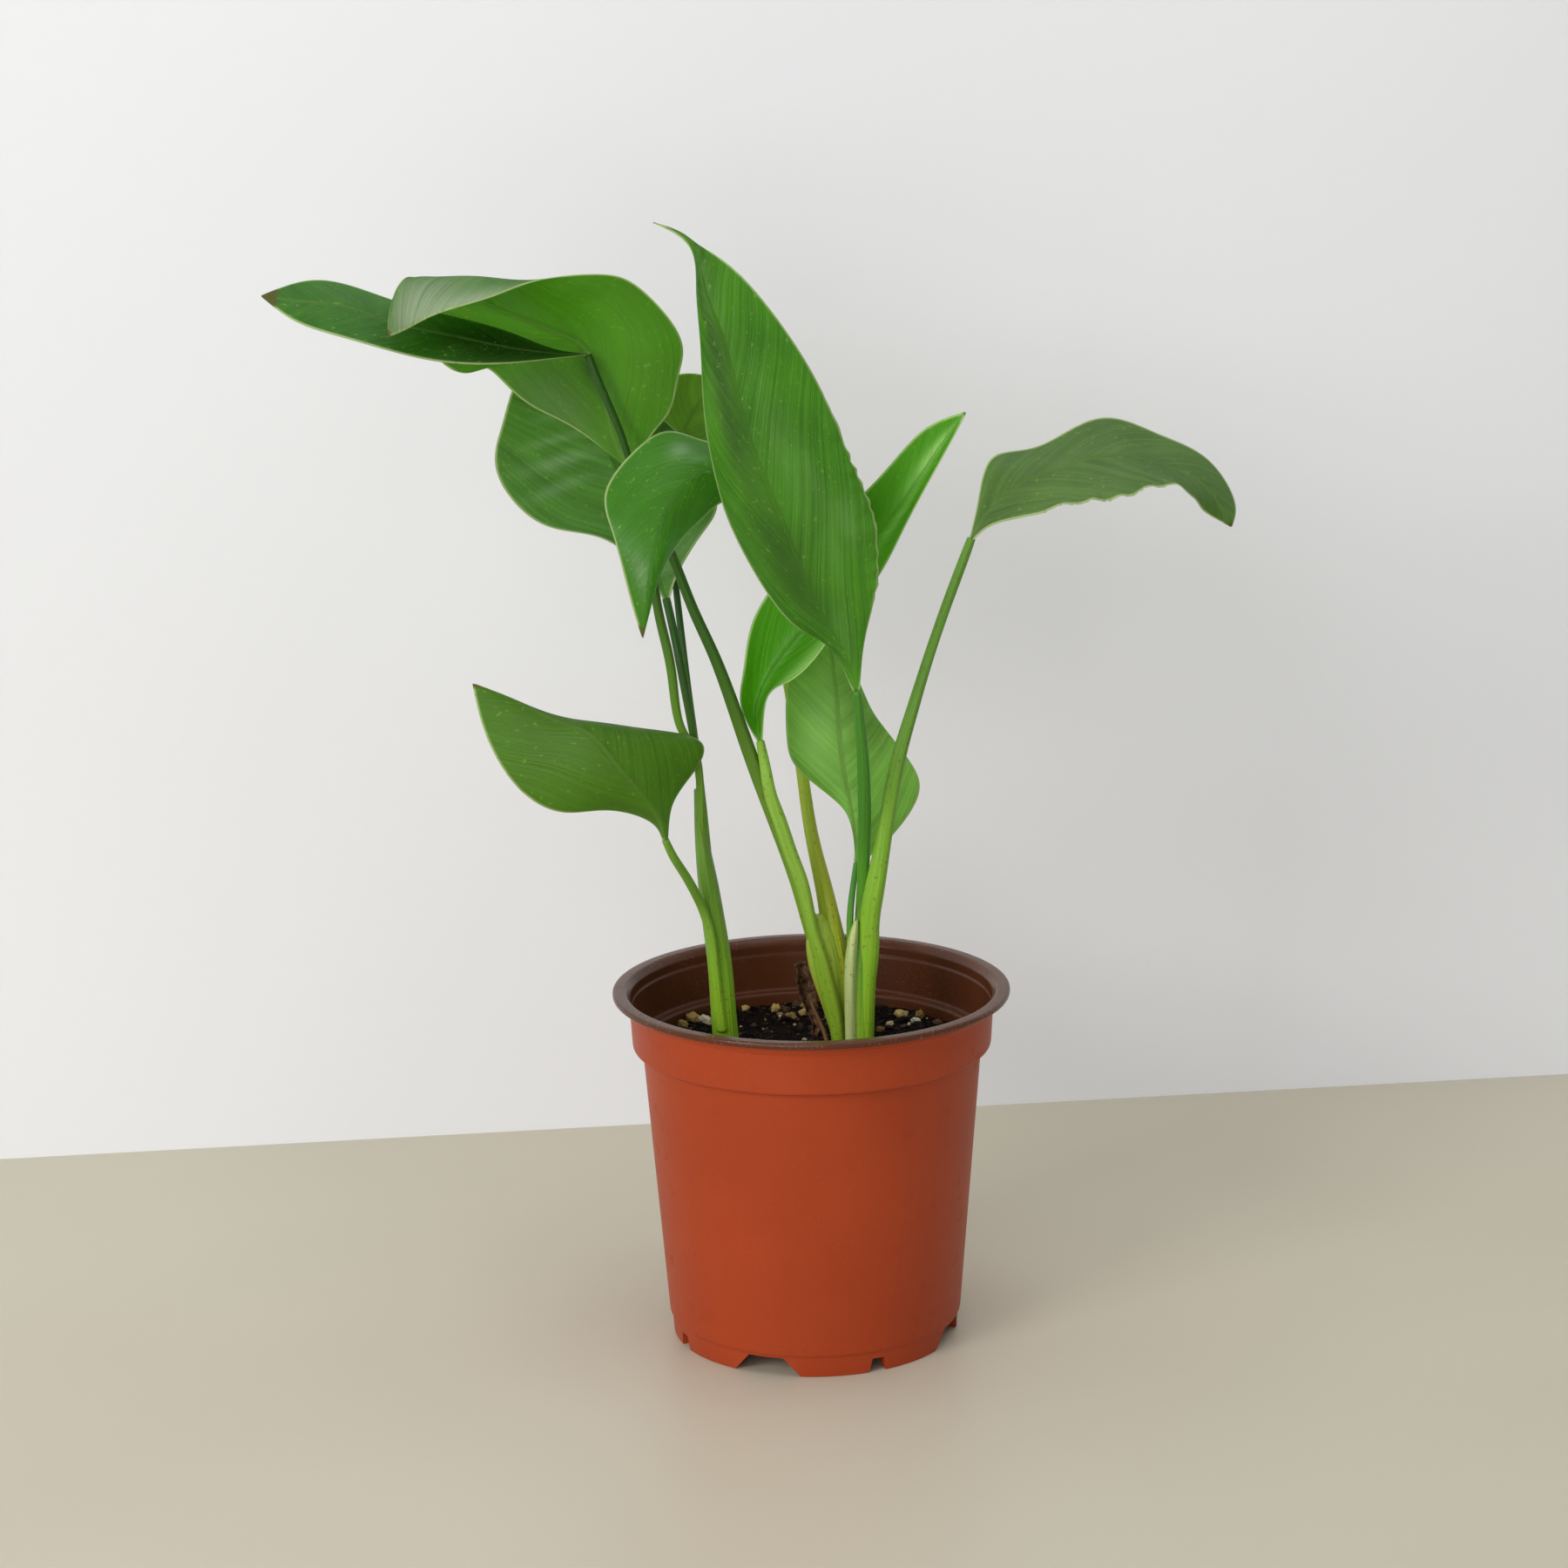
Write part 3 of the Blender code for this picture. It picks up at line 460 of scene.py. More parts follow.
def stem_finish(name, low, high, blush=None, blush_share=0.0):
    """A petiole or sheath: grain runs along it, up is 0 at its foot and 1 at its top."""
    s = Shader(name)
    grain = s.attribute("grain", vector=True)
    up = s.attribute("up")
    fibres = s.noise(grain, 1.3, 2.0)
    ribs = s.noise(grain, 0.5, 1.0)
    cloud = s.noise(s.place, 60.0, 2.0)
    rise = s.between(up, 0.0, 0.75)
    colour = s.mix(rise, low, high)
    shade = s.weigh((ribs, 0.55), (fibres, 0.35))
    colour = s.mix(s.times(shade, 0.3), colour, rgb(66, 108, 22))
    if blush is not None:
        place = s.between(s.plus(s.attribute("turn"), s.times(cloud, 0.25)), 0.55, 0.95)
        fade = s.between(up, 0.0, 0.62, 1.0, 0.0)
        share = s.times(s.times(place, fade), blush_share)
        colour = s.mix(s.times(share, s.between(ribs, 0.2, 0.8, 0.45, 1.0)), colour, blush)
    speck = s.between(s.noise(s.place, 650.0, 1.0), 0.95, 1.0, 0.0, 0.5)
    colour = s.mix(speck, colour, rgb(120, 96, 40))
    height = s.weigh((ribs, 0.9), (fibres, 0.35))
    normal = s.bump(height, 0.42, 0.0006)
    shader = s.surface(colour, 0.42, normal, Specular_IOR_Level=0.32)
    return s.finish_thin(shader, s.mix(rise, low, high), 0.22, normal)


def plastic_finish(name, colour, worn, roughness, dust, dust_share):
    """Thin formed plastic: faint mottling, fine scuffs and some dust."""
    s = Shader(name)
    cloud = s.noise(s.place, 22.0, 3.0)
    fine = s.noise(s.place, 900.0, 2.0)
    scuffs = s.between(s.noise(s.place, 130.0, 4.0, 0.65), 0.8, 1.0, 0.0, 0.25)
    tint = s.mix(s.times(cloud, 0.6), colour, worn)
    tint = s.mix(scuffs, tint, worn)
    specks = s.between(s.noise(s.place, 1100.0, 2.0), 0.80, 0.98)
    patches = s.between(s.noise(s.place, 70.0, 2.0), 0.25, 0.85)
    dusty = s.times(s.times(specks, patches), dust_share)
    tint = s.mix(dusty, tint, dust)
    height = s.weigh((fine, 0.25), (cloud, 0.9))
    normal = s.bump(height, 0.10, 0.0006)
    rough = s.plus(roughness, s.times(s.plus(scuffs, dusty), 0.4))
    return s.finish(s.surface(tint, rough, normal, Specular_IOR_Level=0.26))


def soil_finish():
    s = Shader("potting_mix")
    grit = s.noise(s.place, 420.0, 4.0, 0.7)
    clumps = s.noise(s.place, 140.0, 3.0, 0.6)
    colour = s.mix(clumps, rgb(8, 5, 3), rgb(30, 20, 14))
    colour = s.mix(s.between(grit, 0.72, 1.0, 0.0, 0.7), colour, rgb(88, 66, 50))
    normal = s.bump(s.plus(grit, clumps), 1.0, 0.002)
    return s.finish(s.surface(colour, 0.95, normal, Specular_IOR_Level=0.1))


def lump_finish(name, dark, middle, light):
    """Crumbs and grains: each lump has its own tone."""
    s = Shader(name)
    tone = s.attribute("tone")
    pores = s.noise(s.place, 1300.0, 3.0, 0.65)
    colour = s.mix(s.between(tone, 0.0, 0.55), dark, middle)
    colour = s.mix(s.between(tone, 0.55, 1.0), colour, light)
    colour = s.mix(s.between(pores, 0.5, 1.0, 0.0, 0.55), colour, dark)
    normal = s.bump(pores, 0.7, 0.0005)
    return s.finish(s.surface(colour, 0.85, normal, Specular_IOR_Level=0.25))


def dry_finish():
    s = Shader("dry_brown")
    crumple = s.noise(s.place, 420.0, 4.0, 0.7)
    colour = s.mix(crumple, rgb(54, 33, 22), rgb(128, 92, 66))
    normal = s.bump(crumple, 0.8, 0.0008)
    return s.finish(s.surface(colour, 0.8, normal, Specular_IOR_Level=0.2))


# ---------------------------------------------------------------- geometry


def smooth_rows(rows, knots, places):
    """Rows of numbers read at these places along a natural cubic spline through the given rows."""
    rows = np.asarray(rows, float)
    knots = np.asarray(knots, float)
    last = len(knots) - 1
    steps = np.diff(knots)
    system = np.eye(last + 1)
    bends = np.zeros_like(rows)
    for i in range(1, last):
        system[i, i - 1] = steps[i - 1]
        system[i, i] = 2 * (steps[i - 1] + steps[i])
        system[i, i + 1] = steps[i]
        bends[i] = 6 * ((rows[i + 1] - rows[i]) / steps[i] - (rows[i] - rows[i - 1]) / steps[i - 1])
    bends = np.linalg.solve(system, bends)
    made = []
    for t in places:
        i = min(max(int(np.searchsorted(knots, t, side="right")) - 1, 0), last - 1)
        a = (knots[i + 1] - t) / steps[i]
        b = 1 - a
        curved = (a**3 - a) * bends[i] + (b**3 - b) * bends[i + 1]
        made.append(a * rows[i] + b * rows[i + 1] + curved * steps[i] ** 2 / 6)
    return np.array(made)


def knots_along(points):
    steps = np.linalg.norm(np.diff(np.asarray(points, float), axis=0), axis=1) ** 0.5
    return np.concatenate([[0], np.cumsum(steps)])


def unit(vectors):
    return vectors / np.maximum(np.linalg.norm(vectors, axis=-1, keepdims=True), 1e-9)


def make_piece(name, points, faces, finish, values=None, slot=None, replaces=(), sharp=None):
    """A smooth piece from points in mm. values are numbers, or triples of numbers, for each point."""
    mesh = bpy.data.meshes.new(name)
    points = np.asarray(points, float) * MM + AXIS
    mesh.from_pydata(points.tolist(), [], [tuple(map(int, face)) for face in faces])
    for key, numbers in (values or {}).items():
        numbers = np.asarray(numbers, np.float32)
        if numbers.ndim == 2:
            mesh.attributes.new(key, "FLOAT_VECTOR", "POINT").data.foreach_set("vector", numbers.ravel())
        else:
            mesh.attributes.new(key, "FLOAT", "POINT").data.foreach_set("value", numbers)
    shape = bmesh.new()
    shape.from_mesh(mesh)
    bmesh.ops.recalc_face_normals(shape, faces=shape.faces)
    shape.to_mesh(mesh)
    shape.free()
    mesh.shade_smooth()
    if sharp:
        mesh.set_sharp_from_angle(angle=math.radians(sharp))
    obj = bpy.data.objects.new(name, mesh)
    bpy.context.scene.collection.objects.link(obj)
    mesh.materials.append(finish)
    if slot:
        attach(obj, "root")
        if replaces:
            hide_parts(*replaces)
    return obj


def thicken(grid, front, back):
    """Points and faces of a closed sheet. front and back are how far its two sides lie from the grid."""
    along, across = grid.shape[:2]
    normal = unit(np.cross(np.gradient(grid, axis=0), np.gradient(grid, axis=1)))
    sheets = [grid + normal * front[..., None], grid - normal * back[..., None]]
    points = np.concatenate([sheet.reshape(-1, 3) for sheet in sheets])
    below = along * across
    faces = []
    for i in range(along - 1):
        for j in range(across - 1):
            a = i * across + j
            quad = (a, a + 1, a + across + 1, a + across)
            faces.append(quad)
            faces.append(tuple(below + corner for corner in reversed(quad)))
    rim = list(range(across))
    rim += [i * across + across - 1 for i in range(1, along)]
    rim += [(along - 1) * across + j for j in range(across - 2, -1, -1)]
    rim += [i * across for i in range(along - 2, 0, -1)]
    for a, b in zip(rim, rim[1:] + rim[:1]):
        faces.append((b, a, below + a, below + b))
    return points, faces


def end_station(point, towards, station, start, half_width):
    point = np.array(point, float)
    inward = np.array(towards, float) - point
    point = point + start * unit(inward)
    across = half_width * unit(np.array(station[-1], float) - np.array(station[0], float))
    return [point + across * share for share in np.linspace(-1, 1, len(station))]


def blade_grid(blade, along, across):
    """The blade's middle surface, as rows from the base to the tip."""
    stations = blade["stations"]
    first = end_station(blade["base"], stations[0][1], stations[0], 0.0, 1.3)
    last = end_station(blade["tip"], stations[-1][1], stations[-1], 0.0, 0.35)
    rails = np.array([first, *stations, last], float)
    knots = knots_along(rails[:, 1])
    rows = smooth_rows(rails.reshape(len(rails), -1), knots, np.linspace(0, knots[-1], along))
    rows = rows.reshape(along, -1, 3)
    places = [-1, 0, 1] if rows.shape[1] == 3 else [-1, 0, 0.55, 1]
    return np.array([smooth_rows(row, places, np.linspace(-1, 1, across)) for row in rows])


def distances(grid):
    """Each point's place in mm: along the midrib, across from it (left is negative), in from the margin."""
    middle = grid.shape[1] // 2
    down = np.linalg.norm(np.diff(grid[:, middle], axis=0), axis=1)
    along = np.concatenate([[0], np.cumsum(down)])[:, None] + np.zeros(grid.shape[:2])
    over = np.linalg.norm(np.diff(grid, axis=1), axis=2)
    across = np.concatenate([np.zeros((len(grid), 1)), np.cumsum(over, axis=1)], axis=1)
    edge = np.minimum(across, across[:, -1:] - across)
    return along, across - across[:, middle : middle + 1], edge


def ripple(grid, blade, along, edge):
    """Waves the margin out of the blade's surface, and nibbles it, over part of the length."""
    middle = grid.shape[1] // 2
    for side, start, stop, height, length, nibble in blade.get("ripples", ()):
        columns = slice(middle, None) if side > 0 else slice(0, middle + 1)
        s = along[:, columns]
        near = np.exp(-edge[:, columns] / 4.5)
        swell = np.clip((s - start) / 12, 0, 1) * np.clip((stop - s) / 12, 0, 1)
        wave = np.sin(math.tau * s / length + 1.7 * np.sin(s / length * 1.3))
        normal = unit(np.cross(np.gradient(grid, axis=0), np.gradient(grid, axis=1)))[:, columns]
        grid[:, columns] += normal * (height * near * swell * wave)[..., None]
        outwards = unit(np.gradient(grid, axis=1))[:, columns] * side
        bite = np.sin(s * 1.9) * np.sin(s * 0.83 + 1) + 0.6 * np.sin(s * 3.7)
        close = np.exp(-edge[:, columns] / 0.8)
        grid[:, columns] += outwards * (nibble * close * swell * bite)[..., None]
    return grid


def spots(grid, places):
    """Soft patches in blade space for painted highlights and painted shadow. Each is along, across, their two
    half sizes and its strength.
    """
    along = np.linspace(0, 1, grid.shape[0])[:, None]
    across = np.linspace(-1, 1, grid.shape[1])[None, :]
    total = np.zeros(grid.shape[:2])
    for t, u, long, wide, strength in places:
        total += strength * np.exp(-(((along - t) / long) ** 2) - ((across - u) / wide) ** 2)
    return np.clip(total, 0, 1)


def add_blade(node, blade, look):
    grid = blade_grid(blade, BLADE_ROWS, BLADE_COLUMNS)
    along, across, edge = distances(grid)
    grid = ripple(grid, blade, along, edge)
    length = along.max()
    # The midrib is a groove above and a round rib below, and both fade towards the tip.
    fade = np.clip(1.05 - along / length, 0, 1) ** 0.7
    sheet = np.minimum(0.10 + edge * 0.12, 0.22)
    rib = np.exp(-((across / RIB_HALF_WIDTH) ** 2)) * np.minimum(edge, 1.2) / 1.2 * fade
    upper = sheet - RIB_GROOVE * rib * look["crease"]
    lower = sheet + RIB_HEIGHT * rib * look["crease"]
    faces_front = look["upper_in_front"]
    front, back = (lower, upper) if faces_front else (upper, lower)
    points, faces = thicken(grid, front, back)
    # Side veins leave the midrib at a steep angle and bend towards the tip.
    vein = along - np.abs(across) * (look["slant"] + 0.018 * np.abs(across))
    grain = np.stack([vein, np.sign(across) * 40.0, across * 0.05], axis=-1).reshape(-1, 3)
    both = {
        "grain": np.concatenate([grain, grain + (0.0, 90.0, 0.0)]),
        "mid": np.tile(np.abs(across).ravel(), 2),
        "edge": np.tile(edge.ravel(), 2),
        "tip": np.tile((length - along).ravel(), 2),
        # Patches of painted highlight and reflection (sheen) and of painted shadow (shade), from the look's
        # lists.
        "sheen": np.tile(spots(grid, look["sheens"]).ravel(), 2),
        "shade": np.tile(spots(grid, look["shades"]).ravel(), 2),
        "under": np.repeat([1.0, 0.0] if faces_front else [0.0, 1.0], grid.shape[0] * grid.shape[1]),
    }
    name = node.replace("leaf_", "blade_")
    return make_piece(name, points, faces, leaf_finish(name, look), both, "blade_green", [node])


def frame_along(path, rings):
    """The smoothed path, with each ring's sideways and frontal directions and its distance from the foot."""
    knots = knots_along([row[:3] for row in path])
    path = smooth_rows(path, knots, np.linspace(0, knots[-1], rings))
    tangents = unit(np.gradient(path[:, :3], axis=0))
    length = np.concatenate([[0], np.cumsum(np.linalg.norm(np.diff(path[:, :3], axis=0), axis=1))])
    side = unit(np.cross(tangents, (0, 1, 0)))
    front = unit(np.cross(side, tangents))
    return path, side, front, length


def sweep(path, rings, sides, groove=0.0, groove_at=-90.0):
    """A stalk through x, y, z, half width and half depth, with a groove down one side and closed ends."""
    path, side, front, length = frame_along(path, rings)
    points, grain, up, turn = [], [], [], []
    for i in range(rings):
        for k in range(sides):
            angle = math.tau * k / sides
            off = (math.degrees(angle) - groove_at + 180) % 360 - 180
            size = 1 - groove * math.exp(-((off / 26) ** 2))
            x, y = math.cos(angle) * size, math.sin(angle) * size
            points.append(path[i, :3] + side[i] * path[i, 3] * x + front[i] * path[i, 4] * y)
            grain.append((x * path[i, 3] * 1.6, y * path[i, 4] * 1.6, length[i] * 0.035))
            up.append(length[i] / length[-1])
            turn.append(0.5 - 0.5 * x)
    faces = []
    for i in range(rings - 1):
        for k in range(sides):
            a = i * sides + k
            b = i * sides + (k + 1) % sides
            faces.append((a, b, b + sides, a + sides))
    faces.append(tuple(range(sides)))
    faces.append(tuple((rings - 1) * sides + k for k in range(sides)))
    return points, faces, {"grain": grain, "up": up, "turn": turn}


def add_petiole(node, path, finish, groove, groove_at):
    path = [(x, y, z, radius, radius) for x, y, z, radius in path]
    points, faces, values = sweep(path, RINGS_PER_POINT * len(path), PETIOLE_SIDES, groove, groove_at)
    name = node.replace("stem_", "petiole_")
    return make_piece(name, points, faces, finish, values, "petiole_green", [node])


def add_shoot(node, path, finish):
    points, faces, values = sweep(path, CLUMP_RINGS, CLUMP_SIDES)
    name = node.replace("shoot_", "clump_")
    return make_piece(name, points, faces, finish, values, "petiole_green", [node])


def add_sheath(name, path, finish, start, stop):
    """A thin sheath that wraps part of the way round a clump. start and stop are the angles of its two edges,
    each at the foot and at the top."""
    path, side, front, length = frame_along(path, CLUMP_RINGS)
    grid = np.zeros((CLUMP_RINGS, SHEATH_COLUMNS, 3))
    for i in range(CLUMP_RINGS):
        share = i / (CLUMP_RINGS - 1)
        low = start[0] + (start[1] - start[0]) * share
        high = stop[0] + (stop[1] - stop[0]) * share
        for j, angle in enumerate(np.radians(np.linspace(low, high, SHEATH_COLUMNS))):
            spread = side[i] * path[i, 3] * math.cos(angle) + front[i] * path[i, 4] * math.sin(angle)
            grid[i, j] = path[i, :3] + spread
    along, wide, edge = distances(grid)
    half = np.minimum(0.08 + edge * 0.1, 0.3)
    points, faces = thicken(grid, half, half)
    grain = np.stack([wide * 1.6, wide * 0, along * 0.035], axis=-1).reshape(-1, 3)
    values = {
        "grain": np.tile(grain, (2, 1)),
        "up": np.tile((along / length[-1]).ravel(), 2),
        "turn": np.tile(np.clip(1 - edge / 1.2, 0, 1).ravel(), 2),
    }
    return make_piece(name, points, faces, finish, values, "petiole_green")


def turned(profile, sides):
    points = []
    for k in range(sides):
        angle = math.tau * k / sides
        points += [(r * math.cos(angle), r * math.sin(angle), z) for r, z in profile]
    faces = []
    count = len(profile)
    for k in range(sides):
        a = k * count
        b = (k + 1) % sides * count
        for i in range(count):
            j = (i + 1) % count
            faces.append((a + i, a + j, b + j, b + i))
    return points, faces


def rounded(profile, radius):
    """The closed profile with each corner turned into a short curve."""
    made = []
    corners = np.array(profile, float)
    for before, corner, after in zip(np.roll(corners, 1, 0), corners, np.roll(corners, -1, 0)):
        start = corner + unit(before - corner) * min(radius, 0.4 * np.linalg.norm(before - corner))
        stop = corner + unit(after - corner) * min(radius, 0.4 * np.linalg.norm(after - corner))
        for t in (0.0, 0.5, 1.0):
            made.append(tuple((1 - t) ** 2 * start + 2 * t * (1 - t) * corner + t**2 * stop))
    return made


def pot_profile():
    """The pot's section in two runs: the outside and underside, then the rim and inside."""
    top = POT_HEIGHT
    under_lip = top - LIP_HEIGHT
    band_foot = top - BAND_HEIGHT
    step_foot = band_foot - STEP_HEIGHT
    floor = FOOT_HEIGHT + WALL
    outer = [
        (BAND_RADIUS + 0.6, under_lip - 0.4),
        (BAND_RADIUS + 0.6, top - 5.6),
        (BAND_RADIUS, top - 6.3),
        (BAND_FOOT_RADIUS, band_foot),
        (BAND_FOOT_RADIUS - 0.5, band_foot - 0.8),
        (STEP_RADIUS + 0.6, band_foot - 1.1),
        (STEP_RADIUS, step_foot),
        (WALL_FOOT_RADIUS, FOOT_HEIGHT + 0.9),
        (WALL_FOOT_RADIUS - 0.8, FOOT_HEIGHT),
        (FOOT_RADIUS, 0),
        (FOOT_RADIUS - FOOT_WIDTH, 0),
        (FOOT_RADIUS - FOOT_WIDTH - 0.5, FOOT_HEIGHT - 0.7),
        (FOOT_RADIUS - FOOT_WIDTH - 1.2, FOOT_HEIGHT),
        (CENTRE_HOLE, FOOT_HEIGHT),
    ]
    inner = [
        (CENTRE_HOLE, floor),
        (WALL_FOOT_RADIUS - WALL - 1.2, floor),
        (WALL_FOOT_RADIUS - WALL, floor + 1.2),
        (STEP_RADIUS - WALL, band_foot - 0.5),
        (STEP_RADIUS - WALL + 0.6, band_foot + 0.3),
        (BAND_FOOT_RADIUS - WALL - 0.6, band_foot + 0.6),
        (BAND_FOOT_RADIUS - WALL, band_foot + 1.3),
        (BAND_RADIUS - WALL, top - 6.6),
        (BAND_RADIUS - WALL + 0.6, top - 5.9),
        (BAND_RADIUS - WALL + 0.6, under_lip),
        (RIM_RADIUS - FLANGE_WIDTH, top - 0.4),
        (RIM_RADIUS - FLANGE_WIDTH + 0.7, top),
        (RIM_RADIUS - 0.6, top),
        (RIM_RADIUS, top - 0.5),
        (RIM_RADIUS, under_lip + 0.5),
        (RIM_RADIUS - 0.7, under_lip),
    ]
    return outer, inner


def notch_faces(first):
    a = first
    faces = [(a, a + 3, a + 2, a + 1), (a + 4, a + 5, a + 6, a + 7)]
    return faces + [(a + i, a + (i + 1) % 4, a + 4 + (i + 1) % 4, a + 4 + i) for i in range(4)]


def pot_cutter():
    """The notches between the feet and the drain holes in the floor."""
    points = []
    faces = []
    sides = 32
    for k in range(PAIRS):
        narrow = NOTCH_ANGLE + k * 360 / PAIRS
        wide = narrow + 180 / PAIRS
        for angle, half_width, height, slope in ((narrow, 2.4, 5.6, 1.4), (wide, 6.9, 7.4, 7.4)):
            turn = Matrix.Rotation(math.radians(angle - 90), 4, "Z")
            faces += notch_faces(len(points))
            for distance in (FOOT_RADIUS - FOOT_WIDTH - 3, FOOT_RADIUS + 4):
                corners = [(-half_width - slope, -1), (half_width + slope, -1)]
                corners += [(half_width, height), (-half_width, height)]
                points += [turn @ Vector((distance, across, z)) for across, z in corners]
        angle = math.radians(wide - 90)
        centre = Vector((DRAIN_RING * math.cos(angle), DRAIN_RING * math.sin(angle), 0))
        a = len(points)
        for z in (FOOT_HEIGHT - 2, FOOT_HEIGHT + WALL + 2):
            for i in range(sides):
                spoke = Vector((math.cos(math.tau * i / sides), math.sin(math.tau * i / sides), 0))
                points.append(centre + spoke * DRAIN_RADIUS + Vector((0, 0, z)))
        faces += [tuple(a + i for i in reversed(range(sides))), tuple(a + sides + i for i in range(sides))]
        for i in range(sides):
            j = (i + 1) % sides
            faces.append((a + i, a + j, a + sides + j, a + sides + i))
    return points, faces


def apply_modifiers(obj):
    graph = bpy.context.evaluated_depsgraph_get()
    graph.update()
    evaluated = obj.evaluated_get(graph)
    mesh = bpy.data.meshes.new_from_object(evaluated, preserve_all_data_layers=True, depsgraph=graph)
    obj.modifiers.clear()
    obj.data = mesh


def add_pot():
    outside = plastic_finish("pot_outside", rgb(170, 64, 26), rgb(158, 57, 21), 0.46, rgb(190, 120, 88), 0.08)
    inside = plastic_finish("pot_inside", rgb(86, 44, 22), rgb(70, 36, 17), 0.34, rgb(150, 124, 104), 0.18)
    rim = plastic_finish("pot_rim", rgb(88, 49, 31), rgb(72, 39, 24), 0.24, rgb(160, 130, 104), 0.28)
    outer, inner = pot_profile()
    section = rounded(outer + inner, CORNER_RADIUS)
    count = len(section)
    pot = make_piece("nursery_pot", *turned(section, POT_SIDES), outside)
    pot.data.materials.append(inside)
    pot.data.materials.append(rim)
    # Each corner of the section became three points. The inner run's first nine corners are the floor and the
    # inner wall, and the rest are the rim.
    first_inner = 3 * len(outer) - 1
    first_rim = 3 * (len(outer) + 9)
    for number, face in enumerate(pot.data.polygons):
        step = number % count
        if first_inner <= step < count - 1:
            face.material_index = 1 if step < first_rim else 2
    cutter = make_piece("pot_cutter", *pot_cutter(), outside)
    cutter.data.shade_flat()
    modifier = pot.modifiers.new("cut", "BOOLEAN")
    modifier.operation = "DIFFERENCE"
    modifier.solver = "EXACT"
    modifier.object = cutter
    apply_modifiers(pot)
    bpy.data.objects.remove(cutter, do_unlink=True)
    pot.data.set_sharp_from_angle(angle=math.radians(38))
    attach(pot, "root")
    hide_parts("pot")


def soil_top(x, y):
    """Height of the soil at a place: uneven, with small clumps."""
    place = Vector((x, y, 0.0))
    height = SOIL_HEIGHT + 1.0 * noise.noise(place * 0.045)
    height += 1.1 * noise.noise(place * 0.16 + Vector((7, 3, 1)))
    return height + 0.75 * noise.noise(place * 0.42 + Vector((2, 9, 4))) + 0.3 * noise.noise(place * 1.1)


def add_soil():
    sides = SOIL_SIDES
    bottom = FOOT_HEIGHT + WALL + 0.35
    rings = [(27, bottom), (WALL_FOOT_RADIUS - 3.2, bottom), (WALL_FOOT_RADIUS - 1.8, bottom + 1.6)]
    rings += [(STEP_RADIUS - 2.2, SOIL_HEIGHT - 2.4)]
    rings += [(radius, None) for radius in np.linspace(STEP_RADIUS - 1.9, 1.0, SOIL_RINGS)]
    points = [(0, 0, bottom)]
    for radius, height in rings:
        for k in range(sides):
            angle = math.tau * k / sides
            x, y = radius * math.cos(angle), radius * math.sin(angle)
            points.append((x, y, soil_top(x, y) if height is None else height))
    points.append((0, 0, soil_top(0, 0)))
    faces = []
    for k in range(sides):
        j = (k + 1) % sides
        faces.append((0, 1 + j, 1 + k))
        for i in range(len(rings) - 1):
            a = 1 + i * sides
            faces.append((a + k, a + j, a + sides + j, a + sides + k))
        a = 1 + (len(rings) - 1) * sides
        faces.append((a + k, a + j, len(points) - 1))
    make_piece("soil_body", points, faces, soil_finish(), None, "potting_mix", ["soil"])


def lumps(places, chance, roughness, detail):
    """Rough stones. Each place is x, y, z and three half sizes. Gives points, faces and each point's tone."""
    points, faces, tones = [], [], []
    for x, y, z, *sizes in places:
        shape = bmesh.new()
        bmesh.ops.create_icosphere(shape, subdivisions=detail, radius=1.0)
        shift = Vector([chance.uniform(0, 50) for _ in range(3)])
        turn = Euler([chance.uniform(0, math.tau) for _ in range(3)]).to_matrix()
        lean = (chance.uniform(-0.4, 0.4), chance.uniform(-0.4, 0.4), chance.uniform(0, math.tau))
        tilt = Euler(lean).to_matrix()
        tone = chance.random()
        shape.verts.index_update()
        first = len(points)
        for vertex in shape.verts:
            bulge = 1 + roughness * noise.noise(vertex.co * 1.6 + shift)
            bulge += 0.4 * roughness * noise.noise(vertex.co * 4 + shift)
            local = turn @ vertex.co * bulge
            local = tilt @ Vector([local[i] * sizes[i] for i in range(3)])
            points.append((x + local.x, y + local.y, z + local.z))
            tones.append(tone)
        faces += [tuple(first + vertex.index for vertex in face.verts) for face in shape.faces]
        shape.free()
    return points, faces, {"tone": tones}


def scatter(count, chance, sizes, flat):
    """Places for crumbs on the soil, none of them inside a clump."""
    places = []
    while len(places) < count:
        radius = SCATTER_RADIUS * math.sqrt(chance.random())
        angle = chance.uniform(0, math.tau)
        x, y = radius * math.cos(angle), radius * math.sin(angle)
        size = sizes[0] * (sizes[1] / sizes[0]) ** (chance.random() ** 1.6)
        if any(math.hypot(x - p[1][0], y - p[1][1]) < p[1][3] + size for p in SHOOTS.values()):
            continue
        z = soil_top(x, y) + size * flat * chance.uniform(-0.1, 0.6)
        places.append((x, y, z, size, size * chance.uniform(0.5, 0.9), size * flat))
    return places


def add_crumbs():
    chance = random.Random(CRUMB_SEED)
    bark = lump_finish("bark_crumbs", rgb(14, 9, 6), rgb(40, 26, 18), rgb(104, 72, 52))
    pale = lump_finish("pumice", rgb(120, 92, 46), rgb(188, 160, 96), rgb(216, 206, 178))
    places = scatter(CRUMBS, chance, (0.7, 3.2), 0.45)
    points, faces, values = lumps(places, chance, 0.5, 2)
    make_piece("bark_crumbs", points, faces, bark, values, "potting_mix")
    points, faces, values = lumps(scatter(GRIT, chance, (0.45, 1.3), 0.8), chance, 0.45, 2)
    make_piece("pumice_grit", points, faces, pale, values, "pumice")
    places = [(x, y, soil_top(x, y) + r * 0.55, r * 1.12, r * 0.95, r * 0.8) for x, y, r in GRAINS]
    points, faces, values = lumps(places, chance, 0.5, 3)
    grains = [f"grain_{i}" for i in range(1, len(GRAINS) + 1)]
    make_piece("pumice_grains", points, faces, pale, values, "pumice", grains)


